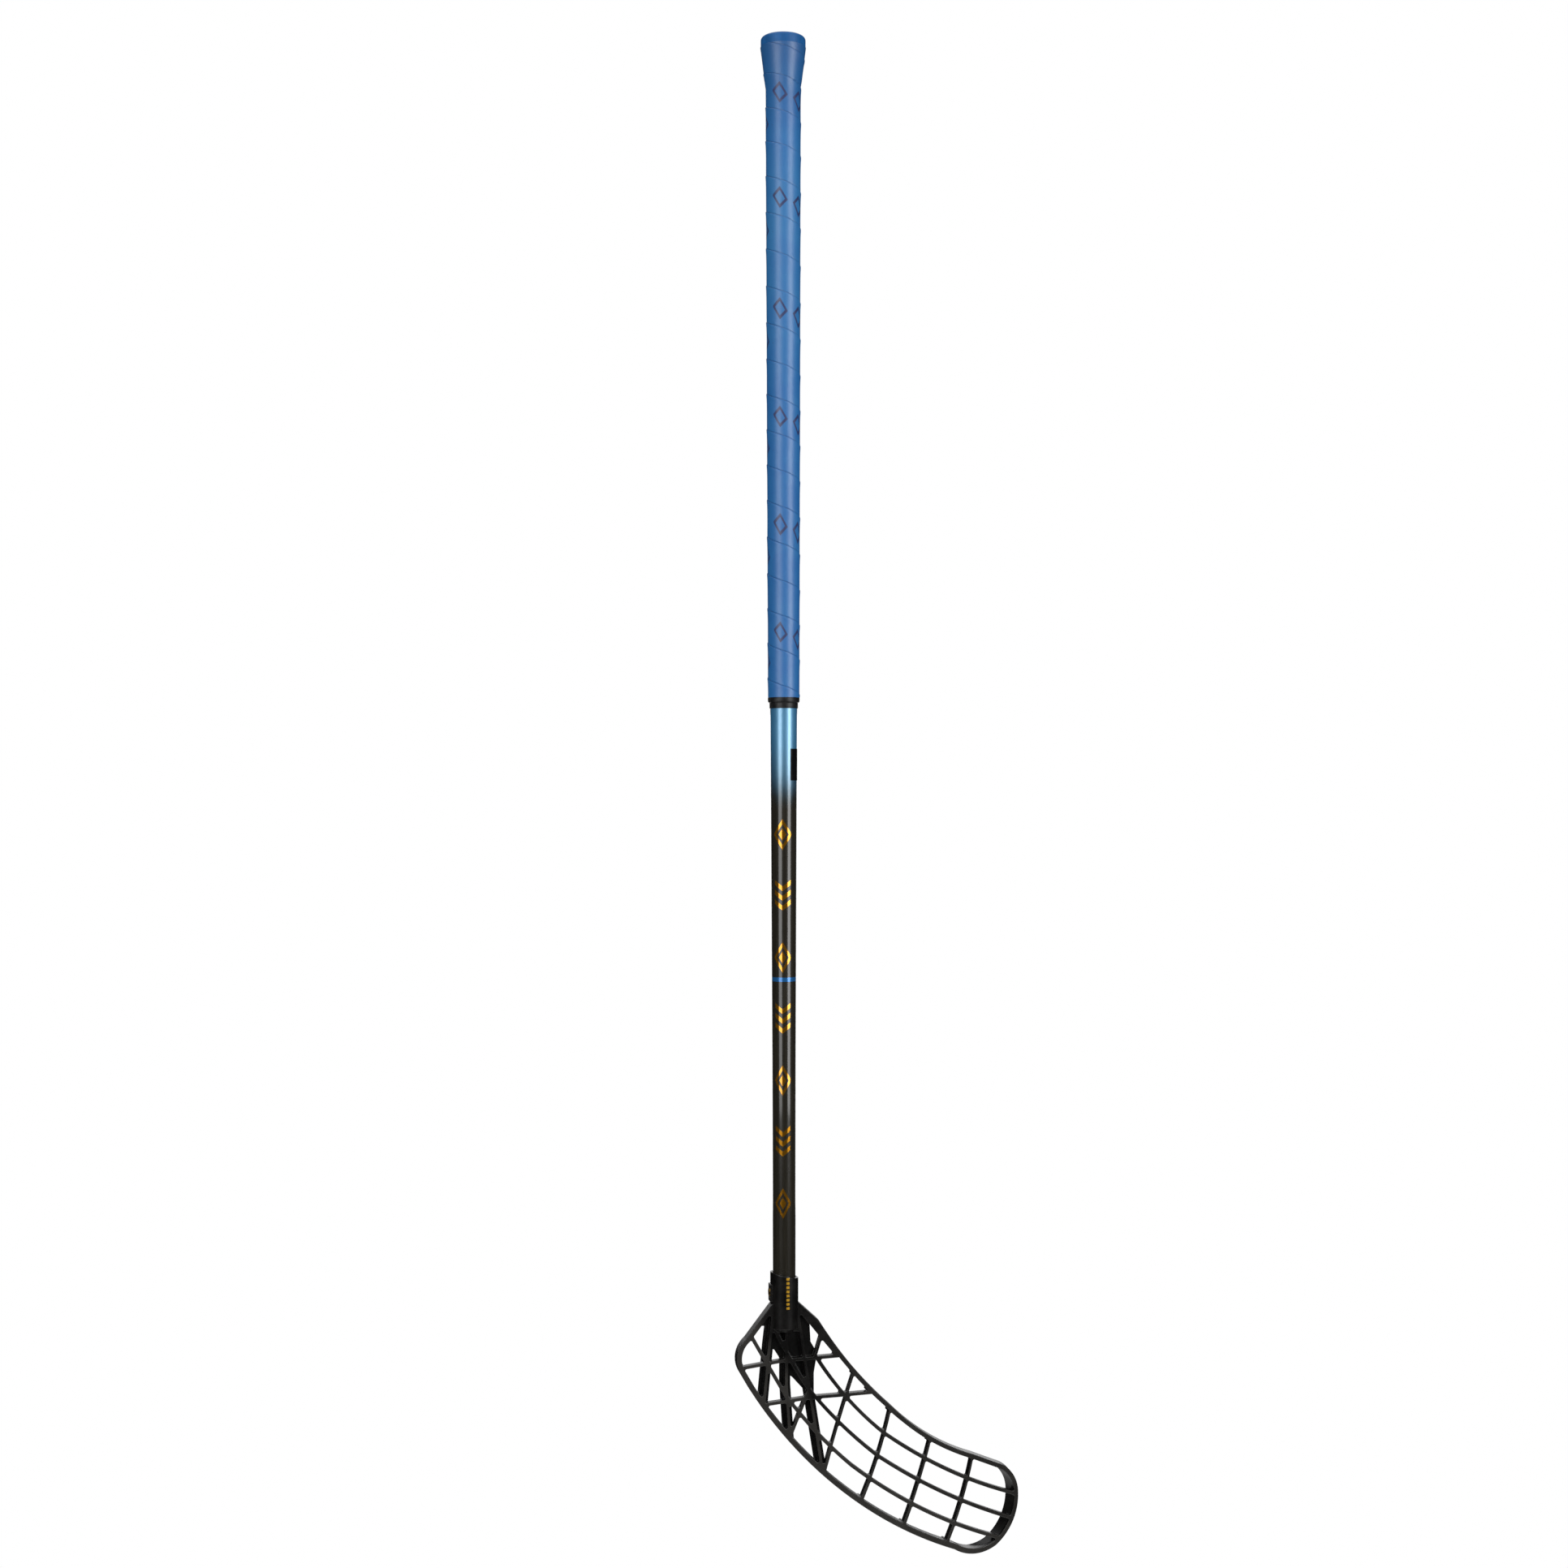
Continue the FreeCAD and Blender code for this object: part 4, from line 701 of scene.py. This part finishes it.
class FLOORBALL_OT_grip(bpy.types.Operator):
    """Wind the grip tape as one ribbon round the cap's skirt and the tube"""
    bl_idname = "floorball.grip"
    bl_label = "Wound Grip"

    def execute(self, context):
        grip = context.scene.floorball_grip
        shaft = context.scene.floorball_shaft
        per_turn = 64
        laps = math.ceil((TAPE_HIGH.z - TAPE_LOW.z) / grip.pitch) + 1
        rise = grip.pitch - grip.seam
        thick = grip.thickness
        # Shares of the tape's width, and heights above the seat, round the tape's section.
        section = [
            (0.0, 0.0), (0.0, thick * 0.95), (0.006, thick + grip.ridge * 0.6),
            (0.02, thick + grip.ridge), (0.06, thick + grip.ridge * 0.85), (0.14, thick + grip.ridge * 0.45),
            (0.3, thick + grip.ridge * 0.15), (0.5, thick), (0.75, thick), (0.93, thick),
            (0.975, thick * 0.99), (0.993, thick * 0.95), (1.0, thick * 0.88), (1.0, 0.0),
        ]
        # The section is wound on a plain core first, and then drawn in to the seat, a hair's breadth off it.
        core = TAPE_HIGH.x
        slack = 0.05 * MM
        # The outer skin wanders in patches of about 22 mm.
        patch = 22 * MM
        heading = Vector((math.cos(grip.start), math.sin(grip.start), 0.0))
        bm = bmesh.new()
        corners = []
        for share, height in section:
            across = Vector((0.0, 0.0, TAPE_HIGH.z + grip.pitch - grip.seam / 2 - rise * share))
            corners.append(bm.verts.new(heading * (core + height) + across))
        edges = [bm.edges.new((corners[i - 1], corners[i])) for i in range(len(corners))]
        bmesh.ops.spin(
            bm, geom=corners + edges, cent=(0, 0, 0), axis=(0, 0, 1), dvec=(0, 0, -grip.pitch / per_turn),
            angle=TURN * laps, steps=per_turn * laps)
        for plane, outward in ((TAPE_HIGH.z, 1.0), (TAPE_LOW.z, -1.0)):
            bmesh.ops.bisect_plane(
                bm, geom=bm.verts[:] + bm.edges[:] + bm.faces[:], dist=MERGE / 10,
                plane_co=(0, 0, plane), plane_no=(0, 0, outward), clear_outer=True)
        bmesh.ops.holes_fill(bm, edges=[e for e in bm.edges if e.is_boundary], sides=0)
        winding = bm.loops.layers.uv.new("winding")
        for corner in bm.verts:
            turns = (TAPE_HIGH.z - corner.co.z) / grip.pitch
            wound = (math.atan2(corner.co.y, corner.co.x) - grip.start) / TURN
            width = (turns - wound) % 1.0
            for loop in corner.link_loops:
                loop[winding].uv = (turns - width, width)
        for corner in bm.verts:
            height = corner.co.xy.length - core
            corner.co.z -= drift(-corner.co.z)
            wander = 0.0
            if height > thick / 2:
                wander = grip.unevenness * noise.noise(corner.co / patch)
            reach = seat_radius(grip, shaft, -corner.co.z) + slack + height + wander
            corner.co.xy = corner.co.xy.normalized() * reach
        stand_for("wound_tape", bm, foam_tape(grip), "grip_tape")
        return {"FINISHED"}


class FLOORBALL_OT_collar(bpy.types.Operator):
    """Turn the rubber collar with its rounded lip below the tape"""
    bl_idname = "floorball.collar"
    bl_label = "Rubber Collar"

    def execute(self, context):
        grip = context.scene.floorball_grip
        lip = 1.78 * MM
        bore = RING_HIGH.x - lip
        height = RING_HIGH.z - RING_LOW.z
        # Shares of the lip's reach and of the collar's height, from the tape downwards.
        outline = [
            (0.02, 0.0), (0.9, 0.0), (1.0, 0.05), (1.0, 0.25), (0.95, 0.36), (0.8, 0.44), (0.42, 0.47),
            (0.32, 0.5), (0.3, 0.6), (0.29, 0.95), (0.26, 0.985), (0.2, 1.0), (0.02, 1.0),
        ]
        bm = lathe([(bore + lip * out, RING_HIGH.z - height * down) for out, down in outline])
        stand_for("rubber_collar", bm, collar_rubber(grip), "grip_ring")
        return {"FINISHED"}


class FLOORBALL_OT_moulded(bpy.types.Operator):
    """Finish the moulded butt cap and blade, which keep the shape of their solids"""
    bl_idname = "floorball.moulded"
    bl_label = "Cap and Blade"

    def execute(self, context):
        dress("butt_cap", cap_plastic(context.scene.floorball_grip))
        dress("blade", blade_plastic(context.scene.floorball_blade))
        return {"FINISHED"}


class FLOORBALL_OT_fixings(bpy.types.Operator):
    """Finish the label, the screw and the glue, which keep the shape of their solids"""
    bl_idname = "floorball.fixings"
    bl_label = "Label, Screw and Glue"

    def execute(self, context):
        dress("shaft_label", label_film(context.scene.floorball_shaft))
        dress("blade_screw", screw_brass(context.scene.floorball_blade))
        dress("hosel_adhesive", hot_melt(context.scene.floorball_blade))
        return {"FINISHED"}


class FLOORBALL_OT_stage(bpy.types.Operator):
    """Set up the camera, the pale floor, the dark cloth and four soft lamps"""
    bl_idname = "floorball.stage"
    bl_label = "Studio"

    def execute(self, context):
        scene = context.scene
        studio = scene.floorball_studio
        scene.view_settings.view_transform = "Standard"
        self.set_camera(scene, studio)
        self.lay_floor(scene, studio)
        self.hang_lamps(scene, studio)
        self.set_world(scene, studio)
        return {"FINISHED"}

    @staticmethod
    def heading(studio, turn, reach):
        """A point round the shaft, turned from the camera's side, positive to the camera's right."""
        angle = turn - studio.turn
        return Vector((math.sin(angle) * reach, -math.cos(angle) * reach, 0.0))

    def set_camera(self, scene, studio):
        """Stand the camera level with the middle of the stick."""
        data = bpy.data.cameras.new("camera")
        data.sensor_width = SENSOR
        data.lens = studio.lens
        camera = bpy.data.objects.new("camera", data)
        scene.collection.objects.link(camera)
        back = self.heading(studio, 0.0, studio.distance)
        aside = self.heading(studio, math.radians(90), studio.aside)
        camera.location = back + aside + Vector((0.0, 0.0, studio.height))
        level = (-back).to_track_quat("-Z", "Y")
        camera.rotation_euler = (level @ Quaternion((0.0, 0.0, 1.0), studio.roll)).to_euler()
        scene.camera = camera

    def lay_floor(self, scene, studio):
        """Lay the floor below the blade, and the dark cloth on it and far round it."""
        ground = BLADE_LOW.z - studio.drop
        bm = bmesh.new()
        bmesh.ops.create_circle(bm, cap_ends=True, segments=AROUND, radius=studio.floor_radius)
        bmesh.ops.translate(bm, verts=bm.verts, vec=(0, 0, ground))
        self.place(scene, "floor", bm, studio_floor(studio))
        # The cloth starts at a hole below the stick, lies just off the floor and then rises as a wall.
        off_floor = 2 * MM
        widen = studio.cloth_radius / studio.cloth_hole
        bm = bmesh.new()
        bmesh.ops.create_circle(bm, cap_ends=False, segments=AROUND, radius=studio.cloth_hole)
        spread = bmesh.ops.extrude_edge_only(bm, edges=bm.edges[:])["geom"]
        outer = [part for part in spread if isinstance(part, bmesh.types.BMVert)]
        bmesh.ops.scale(bm, verts=outer, vec=(widen, widen, 1.0))
        rim = [part for part in spread if isinstance(part, bmesh.types.BMEdge)]
        raised = bmesh.ops.extrude_edge_only(bm, edges=rim)["geom"]
        upper = [part for part in raised if isinstance(part, bmesh.types.BMVert)]
        bmesh.ops.translate(bm, verts=upper, vec=(0, 0, studio.cloth_height))
        bmesh.ops.translate(bm, verts=bm.verts, vec=(0, 0, ground + off_floor))
        cloth = self.place(scene, "studio_cloth", bm, dark_cloth(studio))
        cloth.visible_camera = False
        cloth.visible_diffuse = False
        cloth.visible_shadow = False

    @staticmethod
    def place(scene, name, bm, material):
        """Make a stage object of a mesh."""
        mesh = bpy.data.meshes.new(name)
        bm.to_mesh(mesh)
        bm.free()
        mesh.materials.append(material)
        piece = bpy.data.objects.new(name, mesh)
        scene.collection.objects.link(piece)
        return piece

    def hang_lamps(self, scene, studio):
        """Hang the soft lamps. The left and right ones' upright images are the bright lines on the shaft."""
        # Power, turn from the camera in degrees, and in metres: reach, height, width, length and aim.
        lamps = {
            "left_lamp": (studio.left, -32.5, 1.25, -0.28, 0.66, 1.5, -0.28),
            "right_lamp": (studio.right, 48.8, 1.25, -0.28, 0.59, 1.5, -0.28),
            "top_lamp": (studio.top, -20.0, 0.35, 0.9, 1.2, 1.2, -0.28),
            "back_lamp": (studio.back, 180.0, 1.5, -0.85, 1.4, 0.75, -1.05),
        }
        for name, (power, turn, reach, height, wide, high, aim) in lamps.items():
            spot = self.heading(studio, math.radians(turn), reach) + Vector((0.0, 0.0, height))
            target = Vector((0.0, 0.0, aim))
            data = bpy.data.lights.new(name, "AREA")
            data.shape = "RECTANGLE"
            data.size = wide
            data.size_y = high
            data.energy = power
            lamp = bpy.data.objects.new(name, data)
            lamp.location = spot
            lamp.rotation_euler = (target - spot).to_track_quat("-Z", "Y").to_euler()
            lamp.visible_camera = False
            scene.collection.objects.link(lamp)

    @staticmethod
    def set_world(scene, studio):
        """White behind the stick, and an even low light from all round."""
        world = bpy.data.worlds.new("studio_world")
        world.use_nodes = True
        tree = world.node_tree
        tree.nodes.clear()
        pure = opaque(linear("FFFFFF"))
        soft = node(tree, "ShaderNodeBackground", {"Color": pure, "Strength": studio.ambient})
        white = node(tree, "ShaderNodeBackground", {"Color": pure, "Strength": 1.0})
        both = node(tree, "ShaderNodeMixShader", {0: shown_rays(tree), 1: soft, 2: white})
        node(tree, "ShaderNodeOutputWorld", {"Surface": both})
        scene.world = world


GROUPS = {
    "floorball_grip": FLOORBALL_PG_grip,
    "floorball_shaft": FLOORBALL_PG_shaft,
    "floorball_blade": FLOORBALL_PG_blade,
    "floorball_studio": FLOORBALL_PG_studio,
}
OPERATORS = (
    FLOORBALL_OT_shaft,
    FLOORBALL_OT_grip,
    FLOORBALL_OT_collar,
    FLOORBALL_OT_moulded,
    FLOORBALL_OT_fixings,
    FLOORBALL_OT_stage,
)


class FLOORBALL_PT_panel(bpy.types.Panel):
    """Sizes, colours and steps of the floorball stick"""
    bl_idname = "FLOORBALL_PT_panel"
    bl_label = "Floorball Stick"
    bl_space_type = "VIEW_3D"
    bl_region_type = "UI"
    bl_category = "Floorball"

    def draw(self, context):
        for operator in OPERATORS:
            self.layout.operator(operator.bl_idname)
        for name, group in GROUPS.items():
            column = self.layout.box().column()
            for entry in group.__annotations__:
                column.prop(getattr(context.scene, name), entry)


def register():
    """Register the groups, the operators and the panel."""
    for name, group in GROUPS.items():
        bpy.utils.register_class(group)
        setattr(bpy.types.Scene, name, bpy.props.PointerProperty(type=group))
    for entry in (*OPERATORS, FLOORBALL_PT_panel):
        bpy.utils.register_class(entry)


def unregister():
    """Take the panel, the operators and the groups away again."""
    for entry in reversed((*OPERATORS, FLOORBALL_PT_panel)):
        bpy.utils.unregister_class(entry)
    for name, group in reversed(GROUPS.items()):
        delattr(bpy.types.Scene, name)
        bpy.utils.unregister_class(group)


def main():
    """Build the stick and its studio."""
    register()
    bpy.ops.floorball.shaft()
    bpy.ops.floorball.grip()
    bpy.ops.floorball.collar()
    bpy.ops.floorball.moulded()
    bpy.ops.floorball.fixings()
    bpy.ops.floorball.stage()


if __name__ == "__main__":
    main()
